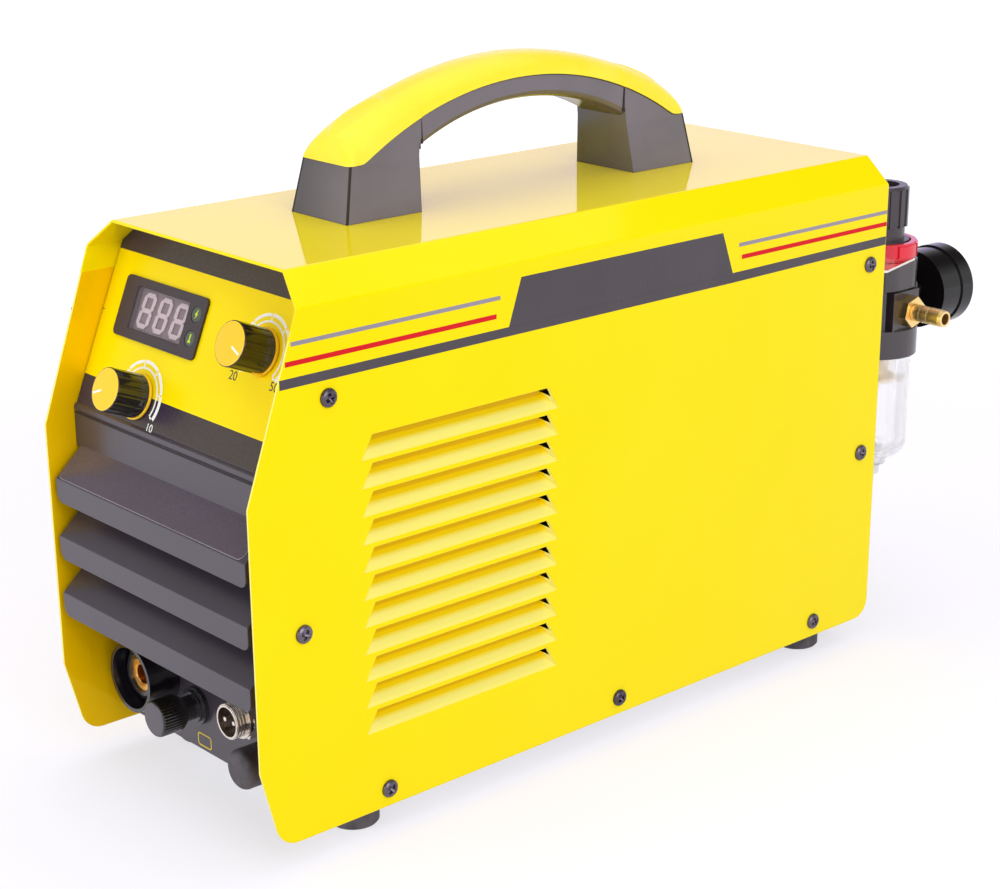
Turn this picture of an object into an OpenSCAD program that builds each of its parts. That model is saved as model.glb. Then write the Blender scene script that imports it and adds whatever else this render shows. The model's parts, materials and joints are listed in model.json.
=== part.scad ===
// Inverter plasma cutter: a folded sheet cover over a base tray, a moulded front with
// three blades, a carry handle, and a filter regulator that hangs behind the rear panel.
// Working frame, mm: x across with 0 on the centre line, y along with 0 at the cover's rear
// edge and the front at -y, z up with 0 on the floor. placed() then moves every node so that
// the origin is the middle of the overall footprint, on the floor.

/* [Cover] */
// Width over the two cheeks of the cover
cover_w = 152; // [140:1:160]
// Height of the roof above the floor
roof_z = 251.7; // [248:0.1:260]
// Length from the nose of the cheeks to the rear edge
cover_len = 388; // [384:1:400]
// Height of the cover's lower edge above the floor
cover_z = 12; // [11:0.5:14]
// Thickness of the cover sheet
sheet = 1.2; // [1:0.1:1.5]
// Sideways run of the sloping roof corner
corner_x = 14.2; // [10:0.1:18]
// Drop of the sloping roof corner
corner_z = 12.4; // [10:0.1:16]
// Height of the nose of the cheeks
nose_z = 162.6; // [158:0.1:170]

/* [Side louvres] */
// Number of pressed louvres in each cheek
louvre_count = 11; // [4:1:12]
// Height between two louvres
louvre_pitch = 12.2; // [11.8:0.1:13]
// Length of the cut edge of a louvre
louvre_len = 98; // [60:1:110]
// Height of the uppermost cut edge
louvre_top = 180.9; // [176:0.1:190]
// Distance from the rear edge to the middle of the louvres
louvre_mid = 276.5; // [270:0.5:285]
// How far a louvre is pressed inwards
louvre_depth = 5; // [3:0.1:6]

/* [Front] */
// Lean of the control panel from upright, degrees
panel_tilt = 22.2; // [20:0.1:24]
// Distance from the rear edge to the upright connector panel
socket_panel_y = 352; // [350:0.5:354]
// Height between two blades
blade_pitch = 27; // [25:0.5:28]
// Height of the uppermost blade's front edge
blade_top = 138.7; // [136:0.1:141]

/* [Controls] */
// Diameter of a control knob
knob_d = 19.2; // [17:0.2:21]
// Height of a control knob above the panel
knob_h = 18; // [16:0.5:20]
// Turn of the current knob's pointer from straight up, degrees clockwise
current_pointer = 113; // [0:1:135]
// Turn of the gas knob's pointer from straight up, degrees clockwise
gas_pointer = -113; // [-135:1:0]

/* [Handle] */
// Height of the handle's crown above the roof
handle_h = 62.1; // [60:0.1:66]
// Width of the handle's feet
handle_w = 39; // [36:0.5:42]
// Sideways place of the handle
handle_x = -3.5; // [-4:0.5:4]

/* [Filter regulator] */
// Sideways place of the regulator's upright axis
reg_x = 50; // [48:0.5:50]
// Distance of the regulator's axis behind the cover's rear edge
reg_y = 28; // [28:0.5:30]
// Diameter of the filter bowl
bowl_d = 38; // [36:0.5:39]
// Diameter of the pressure gauge
gauge_d = 42.2; // [38:0.1:44]

/* [Hidden] */
$fn = 48;
eps = 0.01;

half_w = cover_w / 2;
inner_w = half_w - sheet;
cheek_top_z = roof_z - corner_z;
roof_half = half_w - corner_x;
nose_y = -cover_len;
tip_gap = 0.3;
screw_head_h = 2.2;
screw_head_r = 4;
screw_r = 2;
screw_hole_r = 2.15;
side_screws = [[-347.5, 200.9], [-11.7, 200.9], [-11.7, 103.5], [-363, 104],
    [-320, 20.2], [-181.4, 20.2], [-43.1, 20.2]];
tray_z = 12.5;
tray_sheet = 1.5;
tray_half = inner_w - 0.1;
tray_front = -349;
tray_rear = -12;
foot_spots = [for (x = [-57, 57], y = [-325, -33]) [x, y]];
foot_r = 11.3;

// Control panel frame: x across, s up along the lean, h out of the panel.
panel_y = -345.1;
panel_z = 235.4;
panel_wall = 2.5;
display_at = [-30.5, -23];
display_size = [61, 27];
window_at = [-31.5, -22.8];
window_size = [39, 18.6];
lamp_spots = [[-5.8, -17.4], [-5.8, -27.9]];
lamp_r = 3.3;
current_at = [43, -23.3];
gas_at = [-30.7, -58.6];
label_t = 0.4;
shaft_r = 3;
bush_r = 4.5;

// Connectors, each a place on the upright panel.
panel2_y = -socket_panel_y;
earth_at = [-50.2, 43.9];
pilot_at = [-20.5, 36];
trigger_at = [18.2, 44.5];
torch_at = [37.9, 31.5];
earth_r = 16.2;
earth_proud = 16;
earth_insert_r = 7.8;
trigger_proud = 11;
pilot_end = 23.3;
torch_cap_len = 20;
torch_cap_r = 9;

// Handle: one arch for the crown, one for the parting line, one for the finger gap.
handle_mid = -183;
crown_mid = handle_mid + 3.5;
crown_z = roof_z + handle_h;
crown_r = 206;
parting_z = crown_z - 9.6;
parting_r = 172.8;
gap_z = crown_z - 19.9;
gap_r = 136;
leg_out = 101.6;
shoulder_z = roof_z + 24.3;
grip_w = 33;

// Rear.
rear_y = -9;
rear_sheet = 2;
rear_face = rear_y + rear_sheet;
fan_at = [-22, 76];
fan_size = 92;
fan_deep = 25;
fan_pitch = 41.25;
breaker_at = [-42, 198];
gland_at = [-42, 140];
inlet_at = [8, 171];

// Filter regulator: heights of its parts, from the top down.
reg_top = 232;
flange_z = 202.6;
ring_top = 203.9;
ring_low = 195.5;
bracket_t = 1.2;
bonnet_low = 180;
port_z = 169.5;
port_half = 10;
collar_top = 159.5;
collar_low = 145;
bowl_shoulder = 97;
bowl_low = 84;
gauge_z = 171.9;
gauge_back = reg_y + 30;
gauge_front = reg_y + 53.5;
hex_end = 25.2;
barb_tip = reg_x + 44;

mid_x = (barb_tip - half_w - screw_head_h) / 2;
mid_y = (nose_y + gauge_front) / 2;

// ---- helpers ----

module placed() {
    translate([-mid_x, -mid_y, 0]) children();
}

// Points of the arc that rounds corner p1 between p0 and p2.
function fillet(p0, p1, p2, r, n) = r == 0 ? [p1] : let (
    u = (p0 - p1) / norm(p0 - p1),
    v = (p2 - p1) / norm(p2 - p1),
    half = acos(u * v) / 2,
    c = p1 + (u + v) / norm(u + v) * r / sin(half),
    a = p1 + u * r / tan(half) - c,
    b = p1 + v * r / tan(half) - c,
    a0 = atan2(a.y, a.x),
    turn = (atan2(b.y, b.x) - a0 + 540) % 360 - 180
) [for (i = [0:n]) c + r * [cos(a0 + turn * i / n), sin(a0 + turn * i / n)]];

// The outline with each corner rounded by its own radius.
function rounded(p, radii, n = 6) = let (m = len(p)) [for (i = [0:m - 1])
    each fillet(p[(i + m - 1) % m], p[i], p[(i + 1) % m], radii[i], n)];

function box_outline(w, h) = [[-w / 2, -h / 2], [w / 2, -h / 2], [w / 2, h / 2], [-w / 2, h / 2]];

// Points of an arch whose top is at (mid, top), from mid - out to mid + out.
function arch(mid, top, r, out, n = 24) = [for (i = [0:n]) let (a = asin(out / r) * (2 * i / n - 1))
    [mid + r * sin(a), top - r + r * cos(a)]];

function same(r, n) = [for (i = [1:n]) r];

module round_box(w, h, r) {
    polygon(rounded(box_outline(w, h), same(r, 4)));
}

// Carries a (y, z) outline from x0 to x1.
module across(x0, x1) {
    translate([x0, 0, 0]) rotate([90, 0, 90]) linear_extrude(x1 - x0) children();
}

// Carries an (x, z) outline from y0 to y1.
module along(y0, y1) {
    translate([0, y1, 0]) rotate([90, 0, 0]) linear_extrude(y1 - y0) children();
}

module rod_x(r, x0, x1) {
    translate([x0, 0, 0]) rotate([0, 90, 0]) cylinder(r = r, h = x1 - x0);
}

module rod_y(r, y0, y1) {
    translate([0, y0, 0]) rotate([-90, 0, 0]) cylinder(r = r, h = y1 - y0);
}

module tube_y(r, bore, y0, y1) {
    difference() {
        rod_y(r, y0, y1);
        rod_y(bore, y0 - 1, y1 + 1);
    }
}

module hex_y(flats, y0, y1) {
    translate([0, y0, 0]) rotate([-90, 0, 0]) cylinder(d = flats / cos(30), h = y1 - y0, $fn = 6);
}

// Puts children on the leaning panel: x across, y up along it, z out of it.
module on_panel(at = [0, 0]) {
    translate([0, panel_y, panel_z]) rotate([90 - panel_tilt, 0, 0])
        translate([at.x, at.y, 0]) children();
}

module on_sockets(at) {
    translate([at.x, panel2_y, at.y]) children();
}

module both_sides() {
    children();
    mirror([1, 0, 0]) children();
}

// ---- sheet metal ----

// Half section of the folded cover, inset by i, going up to the roof.
function fold(i) = let (a = half_w - i, b = roof_half - i * tan(45 - atan(corner_x / corner_z) / 2))
    [[-a, 0], [-a, cheek_top_z - i * tan(atan(corner_x / corner_z) / 2)], [-b, roof_z - i],
    [b, roof_z - i], [a, cheek_top_z - i * tan(atan(corner_x / corner_z) / 2)], [a, 0]];

module cover_outline() {
    polygon(rounded([[0, cover_z], [0, roof_z + 1], [-356.1, roof_z + 1], [-361.3, cheek_top_z],
        [nose_y, nose_z], [nose_y + 1.3, 48.3], [-377, cover_z]], [9, 0, 0, 0, 3, 3, 11]));
}

// Section of a louvre's outer face below its cut edge: [depth, height].
function louvre_face() = [[louvre_depth, 0], [louvre_depth, -3.4], [louvre_depth * 0.86, -5],
    [louvre_depth * 0.56, -7.1], [louvre_depth * 0.2, -9.2], [0, -10.6]];

// Outline that a louvre covers on the cheek, wider below the cut edge.
function louvre_outline() = let (e = louvre_len / 2)
    [[-e, 0.2], [e, 0.2], [e + 2.8, -5], [e + 5.4, -9], [e + 5.4, -14], [-e - 5.4, -14], [-e - 5.4, -9], [-e - 2.8, -5]];

// Steep end of a louvre, seen from outside: keeps what lies on its inner side.
module louvre_end(grow) {
    translate([0, louvre_len / 2 + grow, 0]) rotate([30, 0, 0]) rotate([0, 0, 24])
        translate([-80, -160, -100]) cube([160, 160, 200]);
}

// One louvre's hollow, seen from outside; grow thickens it into the pressed sheet's back.
module louvre_form(grow) {
    reach = louvre_len / 2 + 8;
    intersection() {
        along(-reach, reach) polygon([[1, grow > 0 ? -0.4 : 0],
            for (p = louvre_face()) [-p[0] - grow, p[1] - (p[1] == 0 ? 0.4 * sign(grow) : grow * 0.45)],
            [1, -10.6 - grow * 0.45]]);
        louvre_end(grow);
        mirror([0, 1, 0]) louvre_end(grow);
    }
}

// The pressed sheet: open along the cut edge and down both of its turned ends.
module louvre_shell() {
    e = louvre_len / 2;
    difference() {
        intersection() {
            louvre_form(sheet);
            across(-30, 0) union() {
                polygon(louvre_outline());
                translate([-80, -20]) square([160, 15]);
            }
        }
        for (side = [-1, 1]) scale([1, side, 1])
            across(-20, 1) polygon([[e - 3.2, 1], [e + 4, 1], [e + 2.8, -5], [e - 1.6, -2.2]]);
    }
}

module louvre_row() {
    for (i = [0:louvre_count - 1])
        translate([half_w, -louvre_mid, louvre_top - i * louvre_pitch]) children();
}

module top_cover() {
    color([1, 0.9, 0.02]) difference() {
        union() {
            intersection() {
                across(-half_w - 1, half_w + 1) cover_outline();
                along(nose_y - 1, 1) difference() {
                    polygon(rounded(fold(0), [0, 2, 2, 2, 2, 0], 3));
                    polygon(rounded(concat([[-inner_w, -1]], [for (k = [1:4]) fold(sheet)[k]],
                        [[inner_w, -1]]), [0, 0.8, 0.8, 0.8, 0.8, 0], 3));
                }
            }
            both_sides() louvre_row() louvre_shell();
        }
        both_sides() louvre_row() louvre_form(0);
        for (p = side_screws) translate([0, p[0], p[1]]) rod_x(screw_hole_r, -80, 80);
        for (y = handle_screw_y) translate([handle_x, y, roof_z - 5]) cylinder(r = 2.7, h = 10);
    }
}

module base_tray() {
    wall = 24;
    color([0.62, 0.63, 0.65]) difference() {
        union() {
            translate([-tray_half, tray_front, tray_z])
                cube([2 * tray_half, tray_rear - tray_front, tray_sheet]);
            both_sides() translate([tray_half - tray_sheet, tray_front, tray_z])
                cube([tray_sheet, tray_rear - tray_front, wall]);
        }
        for (p = side_screws) translate([0, p[0], p[1]]) rod_x(screw_r + 0.02, -80, 80);
        for (p = foot_spots) translate([p.x, p.y, 0]) cylinder(r = screw_r + 0.02, h = 20);
        for (y = [-290:14:-90]) translate([-25, y, tray_z - 1]) cube([50, 6, 4]);
    }
}

module rear_panel() {
    half = inner_w - 0.2;
    top = roof_z - sheet - 0.2;
    color([0.12, 0.12, 0.13]) difference() {
        union() {
            along(rear_y, rear_face) polygon([[-half, tray_z], [half, tray_z],
                [half, cheek_top_z - 0.8], [roof_half - 0.8, top], [-roof_half + 0.8, top],
                [-half, cheek_top_z - 0.8]]);
            both_sides() translate([half - 2, rear_y - 8, 40]) cube([2, 8 + eps, 192]);
        }
        for (p = side_screws) translate([0, p[0], p[1]]) rod_x(screw_r + 0.02, -80, 80);
        translate([fan_at.x, 0, fan_at.y]) {
            rod_y(42, rear_y - 1, rear_face + 1);
            fan_holes() rod_y(screw_r + 0.02, rear_y - 20, rear_face + 1);
        }
        translate([breaker_at.x, 0, breaker_at.y]) along(rear_y - 1, rear_face + 1) square([18.4, 46.4], center = true);
        translate([gland_at.x, 0, gland_at.y]) rod_y(8.05, rear_y - 1, rear_face + 1);
        translate([inlet_at.x, 0, inlet_at.y]) rod_y(6.55, rear_y - 1, rear_face + 1);
        for (x = bracket_screw_x) translate([reg_x + x, 0, bracket_screw_z])
            rod_y(screw_r + 0.02, rear_y - 1, rear_face + 1);
    }
}

// ---- moulded front ----

// One blade, front edge at height z: a sloping top, a turned-down lip and an open back.
module blade_outline(z) {
    lift = tan(42);
    back = 27;
    lip = 10.7;
    polygon([[nose_y + 1, z], [nose_y + 1 + back, z + back * lift],
        [nose_y + 1 + back, z + back * lift - 3.4], [nose_y + 3.6, z - 2.2],
        [nose_y + 3.2, z - lip], [nose_y + 1.2, z - lip]]);
}

module blades() {
    blade_half = 71;
    for (i = [0:2]) intersection() {
        across(-blade_half, blade_half) blade_outline(blade_top - i * blade_pitch);
        along(nose_y - 1, -300) translate([0, blade_top - i * blade_pitch + 10])
            round_box(2 * blade_half, 41.4, 4);
    }
}

// Front face of the leaning panel at height z, and its back face.
function panel_face(z) = panel_y - (panel_z - z) * tan(panel_tilt);
function panel_back(z) = panel_face(z) + panel_wall / cos(panel_tilt);

module front_fascia() {
    half = inner_w - 0.2;
    top_z = roof_z - sheet - 0.2;
    low_z = 170.2;
    low_y = panel_face(low_z);
    step_y = low_y - 1.7;
    back_y = -362;
    wall = panel_wall;
    color([0.13, 0.13, 0.14]) difference() {
        union() {
            // leaning panel, bead, upright strip and the shelf behind the first blade
            across(-half, half) polygon([[panel_face(top_z), top_z], [low_y, low_z],
                [low_y - 1.5, low_z - 0.8], [low_y - 1.9, low_z - 2.4], [step_y, low_z - 3.8],
                [step_y, 150.2], [step_y + wall, 150.2], [step_y + wall, 163], [back_y, 163],
                [back_y + wall, 166.5], [panel_back(168), 168], [panel_back(top_z), top_z]]);
            // slotted wall behind the blades, shelf and connector panel
            across(-half, half) polygon([[back_y, 166], [back_y, 68], [panel2_y, 68],
                [panel2_y, 15], [panel2_y + wall, 15], [panel2_y + wall, 68 + wall],
                [back_y + wall, 68 + wall], [back_y + wall, 166]]);
            blades();
            both_sides() {
                translate([half - 2, -362, 100]) cube([2, 30, 60]);
                translate([half - 2, -356, 180]) cube([2, 20, 30]);
                translate([half - 7, -369, 98]) cube([7, 8, 12]);
            }
            for (x = [-66, 66], s = [-70, 3]) on_panel([x, s]) translate([0, 0, -16]) cylinder(r = 3.5, h = 15);
        }
        // air slots between the blades
        for (x = [-60:15:60], z = [127.5, 100.5]) translate([x - 5.5, back_y - 1, z - 8]) cube([11, wall + 2, 13]);
        for (p = side_screws) translate([0, p[0], p[1]]) rod_x(screw_r + 0.02, -80, 80);
        roof_trim();
        on_panel() {
            translate([window_at.x, window_at.y, -6]) linear_extrude(12) square(window_size + [2, 2], center = true);
            for (p = lamp_spots) translate([p.x, p.y, -6]) cylinder(r = lamp_r + 0.15, h = 12);
        }
        for (p = [current_at, gas_at]) on_panel(p) translate([0, 0, -6]) cylinder(r = bush_r + 0.1, h = 12);
        on_sockets(earth_at) rod_y(10.1, -1, wall + 1);
        on_sockets(pilot_at) rod_y(4.05, -1, wall + 1);
        on_sockets(trigger_at) rod_y(7.85, -1, wall + 1);
        on_sockets(torch_at) rod_y(7.05, -1, wall + 1);
    }
}

// What the folded roof takes off a full-width moulding.
module roof_trim() {
    along(-400, -300) difference() {
        translate([-half_w, roof_z - 40]) square([cover_w, 44]);
        polygon(fold(sheet + 0.2));
    }
}

module control_label() {
    color([1, 0.86, 0.05]) difference() {
        on_panel() translate([-inner_w + 0.6, -70, 0]) cube([2 * inner_w - 1.2, 84, label_t]);
        roof_trim();
        on_panel() {
            translate([window_at.x, window_at.y, -1]) linear_extrude(5) square(window_size + [2, 2], center = true);
            for (p = lamp_spots) translate([p.x, p.y, -1]) cylinder(r = lamp_r + 0.15, h = 5);
        }
        for (p = [current_at, gas_at]) on_panel(p) translate([0, 0, -1]) cylinder(r = bush_r + 0.1, h = 5);
    }
}

module display_bezel() {
    color([0.2, 0.18, 0.2]) on_panel() difference() {
        translate([display_at.x, display_at.y, label_t]) linear_extrude(1.2) difference() {
            round_box(display_size.x, display_size.y, 2.5);
            translate(window_at - display_at) square(window_size, center = true);
        }
        for (p = lamp_spots) translate([p.x, p.y, -1]) cylinder(r = lamp_r + 0.15, h = 5);
    }
}

module display_window() {
    color([0.35, 0.3, 0.33, 0.5]) on_panel(window_at) translate([0, 0, label_t - 0.6])
        linear_extrude(1.4) square(window_size - [0.1, 0.1], center = true);
}

// One seven-bar digit, w wide between the bars' middles and 2 w high.
module seven_bars(w, bar) {
    for (s = [-1:1]) translate([0, s * w]) square([w - bar * 0.6, bar], center = true);
    for (sx = [-1, 1], sy = [-1, 1]) translate([sx * w / 2, sy * w / 2])
        square([bar, w - bar * 0.6], center = true);
}

module display_digits() {
    color([0.9, 0.8, 0.82]) on_panel(window_at) {
        translate([0, 0, -16]) linear_extrude(14.6) square(window_size, center = true);
        for (i = [-1:1]) translate([i * 12.4, 0, -1.5]) linear_extrude(0.9)
            multmatrix([[1, 0.12, 0, 0], [0, 1, 0, 0], [0, 0, 1, 0], [0, 0, 0, 1]]) seven_bars(6.4, 1.3);
    }
}

module indicator_lamps() {
    color([0.35, 0.5, 0.3]) for (p = lamp_spots) on_panel(p) {
        translate([0, 0, -7]) cylinder(r = lamp_r, h = 8.4);
        translate([0, 0, -16]) cylinder(r = lamp_r + 0.6, h = 9.4);
    }
}

module control_board() {
    color([0.05, 0.3, 0.12]) on_panel() difference() {
        translate([-70, -73, -17.6]) cube([140, 79, 1.6]);
        for (p = [current_at, gas_at]) translate([p.x, p.y, -20]) cylinder(r = 3.4, h = 6);
    }
}

module potentiometers() {
    color([0.55, 0.55, 0.58]) for (p = [current_at, gas_at]) on_panel(p) difference() {
        union() {
            translate([0, 0, -16]) cylinder(r = 8, h = 16 - panel_wall);
            translate([0, 0, -panel_wall - eps]) cylinder(r = bush_r, h = panel_wall + 3.6);
            translate([0, 0, label_t]) cylinder(r = 6.3, h = 2, $fn = 6);
        }
        translate([0, 0, -12]) cylinder(r = shaft_r + 0.05, h = 20);
    }
}

// Knob: flange, fluted skirt, recess for the coloured cap; bore for the shaft.
module knob(at, turn) {
    flutes = 16;
    cap_rim = 1;
    on_panel(at) rotate([0, 0, -turn]) difference() {
        union() {
            translate([0, 0, label_t + 0.5]) cylinder(r = knob_d / 2 + 0.6, h = 1.3);
            translate([0, 0, label_t + 0.5]) cylinder(d = knob_d, h = knob_h - label_t - 0.5);
        }
        for (i = [0:flutes - 1]) rotate([0, 0, (i + 0.5) * 360 / flutes])
            translate([knob_d / 2 + 0.35, 0, 3.4]) cylinder(r = 0.9, h = knob_h, $fn = 24);
        translate([0, 0, knob_h - cap_rim]) cylinder(d = knob_d - 1.6, h = 3);
        translate([0, 0, -1]) cylinder(r = 7.4, h = label_t + 5);
        translate([0, 0, -1]) cylinder(r = shaft_r, h = knob_h - 2);
    }
}

module knob_cap(at, turn) {
    on_panel(at) rotate([0, 0, -turn]) difference() {
        translate([0, 0, knob_h - 1]) cylinder(d = knob_d - 1.6, h = 1.3);
        translate([-0.45, 1.2, knob_h - 0.1]) cube([0.9, knob_d / 2 - 2, 1]);
    }
}

module pot_shaft(at, turn) {
    on_panel(at) rotate([0, 0, -turn]) translate([0, 0, -10]) difference() {
        cylinder(r = shaft_r, h = knob_h + 7);
        translate([-0.5, -5, knob_h + 2]) cube([1, 10, 10]);
    }
}

module current_knob() color([0.05, 0.05, 0.05]) knob(current_at, current_pointer);
module current_knob_cap() color([1, 0.85, 0.05]) knob_cap(current_at, current_pointer);
module current_shaft() color([0.75, 0.75, 0.78]) pot_shaft(current_at, current_pointer);
module gas_knob() color([0.05, 0.05, 0.05]) knob(gas_at, gas_pointer);
module gas_knob_cap() color([1, 0.85, 0.05]) knob_cap(gas_at, gas_pointer);
module gas_shaft() color([0.75, 0.75, 0.78]) pot_shaft(gas_at, gas_pointer);

// ---- connectors ----

// Insulating collar of the work-lead socket: a deep ring round a stepped boss, keyed at the top.
module earth_socket_collar() {
    color([0.1, 0.1, 0.11]) on_sockets(earth_at) difference() {
        union() {
            rod_y(earth_r, -earth_proud, 0);
            rod_y(10, -eps, 14);
        }
        difference() {
            rod_y(earth_r - 1.8, -earth_proud - 1, -4);
            rod_y(9.9, -earth_proud + 5, 0);
            rod_y(earth_r - 3.2, -earth_proud + 7.5, 0);
        }
        rod_y(earth_insert_r, -earth_proud, 20);
    }
}

module earth_socket_insert() {
    color([0.85, 0.6, 0.3]) on_sockets(earth_at) difference() {
        rod_y(earth_insert_r, -earth_proud + 6, 24);
        rod_y(4.6, -earth_proud, 14);
        rod_y(5.4, -earth_proud + 5, -earth_proud + 6.8);
        translate([-1.4, -earth_proud, 3]) cube([2.8, 14, 3.4]);
        translate([0, 24, 0]) rod_y(2.5, -8, 1);
    }
}

module pilot_post() {
    color([0.08, 0.08, 0.09]) on_sockets(pilot_at) union() {
        rod_y(9, -2.2, 0);
        rod_y(7.4, -3.6, -2.2);
        rod_y(5.6, -9, -3.6);
        rod_y(4, -eps, 12);
        hex_y(11, 2.5, 6);
        rod_y(2.95, -19, -9 + eps);
    }
}

// Knurled cap nut: straight ribs, a plain collar and a blind bore.
module pilot_nut() {
    ribs = 36;
    r = 8;
    color([0.07, 0.07, 0.08]) on_sockets(pilot_at) difference() {
        union() {
            rod_y(r, -pilot_end + 0.6, -11);
            rod_y(r - 0.4, -pilot_end, -pilot_end + 0.6 + eps);
            rod_y(r - 1, -11 - eps, -9.4);
            for (i = [0:ribs - 1]) rotate([0, i * 360 / ribs, 0])
                translate([-0.35, -pilot_end + 0.8, r - 0.5]) cube([0.7, pilot_end - 12.2, 0.9]);
        }
        rod_y(3, -20, 0);
    }
}

// Two-pin panel socket: threaded shell with a keyway, a hex flange and its lock nut behind.
module trigger_socket_shell() {
    threads = 4;
    pitch = 1.6;
    color([0.82, 0.8, 0.76]) on_sockets(trigger_at) difference() {
        union() {
            rod_y(7.6, -trigger_proud, -2);
            for (i = [0:threads - 1]) translate([0, i * pitch, 0])
                rod_y(8, -trigger_proud + 0.4, -trigger_proud + 1.2);
            rod_y(9.3, -5, -3.2);
            hex_y(18, -3.2, 0);
            rod_y(7.8, -eps, 7);
            hex_y(19, panel_wall, 5);
        }
        rod_y(6.7, -trigger_proud - 1, 20);
    }
}

pin_x = [-3.2, 3.2];

module trigger_socket_core() {
    color([0.22, 0.14, 0.1]) on_sockets(trigger_at) difference() {
        rod_y(6.7, -trigger_proud + 7, 8);
        for (x = pin_x) translate([x, 0, 0]) rod_y(1, -20, 20);
    }
}

module trigger_socket_pins() {
    color([0.9, 0.88, 0.84]) on_sockets(trigger_at) for (x = pin_x)
        translate([x, 0, 0]) rod_y(1, -trigger_proud + 1.2, 12);
}

// Gas and current stud for the torch: plain nose, thread, hex shoulder and hose tail.
module torch_stud() {
    color([0.8, 0.62, 0.25]) on_sockets(torch_at) difference() {
        union() {
            rod_y(7, -15, 8);
            rod_y(5, -17, -15 + eps);
            hex_y(17, panel_wall, 8);
            rod_y(4.2, 8 - eps, 22);
        }
        rod_y(2.5, -20, 30);
    }
}

// Soft dust cap: rounded closed end, open at the panel.
module torch_cap() {
    r = torch_cap_r;
    edge = 3;
    color([0.2, 0.19, 0.2]) on_sockets(torch_at) rotate([90, 0, 0]) rotate_extrude()
        polygon(concat([[0, torch_cap_len]], [for (i = [0:6]) [r - edge + edge * sin(i * 15),
            torch_cap_len - edge + edge * cos(i * 15)]], [[r, 0.4], [7.05, 0.4],
            [7.05, torch_cap_len - 2.4], [0, torch_cap_len - 2.4]]));
}

// ---- feet, screws, handle ----

module rubber_feet() {
    color([0.16, 0.15, 0.16]) for (p = foot_spots) translate([p.x, p.y, 0]) difference() {
        union() {
            cylinder(r1 = foot_r - 0.8, r2 = foot_r, h = 1);
            translate([0, 0, 1 - eps]) cylinder(r = foot_r, h = tray_z - 1 + eps);
        }
        translate([0, 0, -1]) cylinder(r = 5.5, h = 6);
        translate([0, 0, -1]) cylinder(r = 2.1, h = 20);
    }
}

// Pan-head cross-recess screw, head towards +z, seated at z = 0.
module pan_screw(len) {
    difference() {
        union() {
            cylinder(r = screw_head_r, h = screw_head_h * 0.55);
            translate([0, 0, screw_head_h * 0.55 - eps])
                cylinder(r1 = screw_head_r, r2 = screw_head_r * 0.62, h = screw_head_h * 0.45);
            translate([0, 0, -len]) cylinder(r = screw_r, h = len + eps);
        }
        for (a = [0, 90]) rotate([0, 0, a + 20]) translate([-0.5, -2.1, 1]) cube([1, 4.2, 2]);
    }
}

module panel_screws() {
    color([0.18, 0.18, 0.2]) {
        both_sides() for (p = side_screws) translate([half_w, p[0], p[1]]) rotate([0, 90, 0]) pan_screw(6);
        for (p = foot_spots) translate([p.x, p.y, 5]) rotate([180, 0, 0]) pan_screw(11);
        translate([fan_at.x, rear_face + 2.4, fan_at.y]) fan_holes() rotate([-90, 0, 0]) pan_screw(12);
        for (x = bracket_screw_x) translate([reg_x + x, rear_face + bracket_t, bracket_screw_z])
            rotate([-90, 0, 0]) pan_screw(6);
    }
}

handle_screw_y = [handle_mid - 86, handle_mid + 86];
handle_limits = [handle_mid - 130, handle_mid + 130];

// The line between base and cap: an arch that dips into a flat shoulder at each end.
function parting_line() = let (
    drop = parting_z - shoulder_z,
    a = arch(handle_mid, parting_z, parting_r, sqrt(drop * (2 * parting_r - drop))),
    last = len(a) - 1,
    front = [handle_limits[0], shoulder_z],
    rear = [handle_limits[1], shoulder_z]
) concat([front], fillet(front, a[0], a[1], 11, 5), [for (i = [1:last - 1]) a[i]],
    fillet(a[last - 1], a[last], rear, 11, 5), [rear]);

module below_parting() {
    polygon(concat(parting_line(), [[handle_limits[1], roof_z], [handle_limits[0], roof_z]]));
}

// End faces of the handle seen from the side, lip by lip up to the crown.
module handle_ends() {
    lip = shoulder_z - roof_z;
    half = [for (p = [[4.8, 0], [0, lip], [-1.4, lip + 4], [-3.8, lip + 7.6], [-7.6, lip + 11.2],
        [-15, handle_h + 1]]) [leg_out + p[0], roof_z + p[1]]];
    polygon(concat([for (p = half) [handle_mid + p[0], p[1]]],
        [for (i = [len(half) - 1:-1:0]) [handle_mid - half[i][0], half[i][1]]]));
}

// Room for the hand between the legs.
module finger_gap() {
    polygon(concat([[handle_mid - 65, roof_z - 1], [handle_mid - 63.2, gap_z - 12]],
        arch(handle_mid, gap_z, gap_r, 62.6), [[handle_mid + 62.6, gap_z - 12],
        [handle_mid + 66, roof_z - 1]]));
}

// Front view: feet wider than the shoulders.
module handle_front() {
    w = grip_w / 2;
    polygon(rounded([[-handle_w / 2, roof_z], [handle_w / 2, roof_z], [w, roof_z + 24],
        [w, crown_z + 1], [-w, crown_z + 1], [-w, roof_z + 24]], [0, 0, 20, 0, 0, 20], 4));
}

// Plan view with rounded corners.
module handle_plan(w, r) {
    translate([0, handle_mid, roof_z - 1]) linear_extrude(90) round_box(w, 2 * leg_out + 10, r);
}

// Ring about a crosswise axis, its profile [out from the axis, across].
module arch_ring(mid, top, r, half_angle) {
    translate([0, mid, top - r]) rotate([0, 0, 90]) rotate([90, 0, 0])
        rotate([0, 0, 90 - half_angle]) rotate_extrude(angle = 2 * half_angle, $fn = 180) children();
}

// Half a millimetre off both sides of the grip between the legs.
module grip_recess(half) {
    for (side = [-1, 1]) translate([side * (half + 4.5) - 5, handle_mid - 62.2, roof_z + 25]) cube([10, 124.4, 50]);
}

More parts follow.
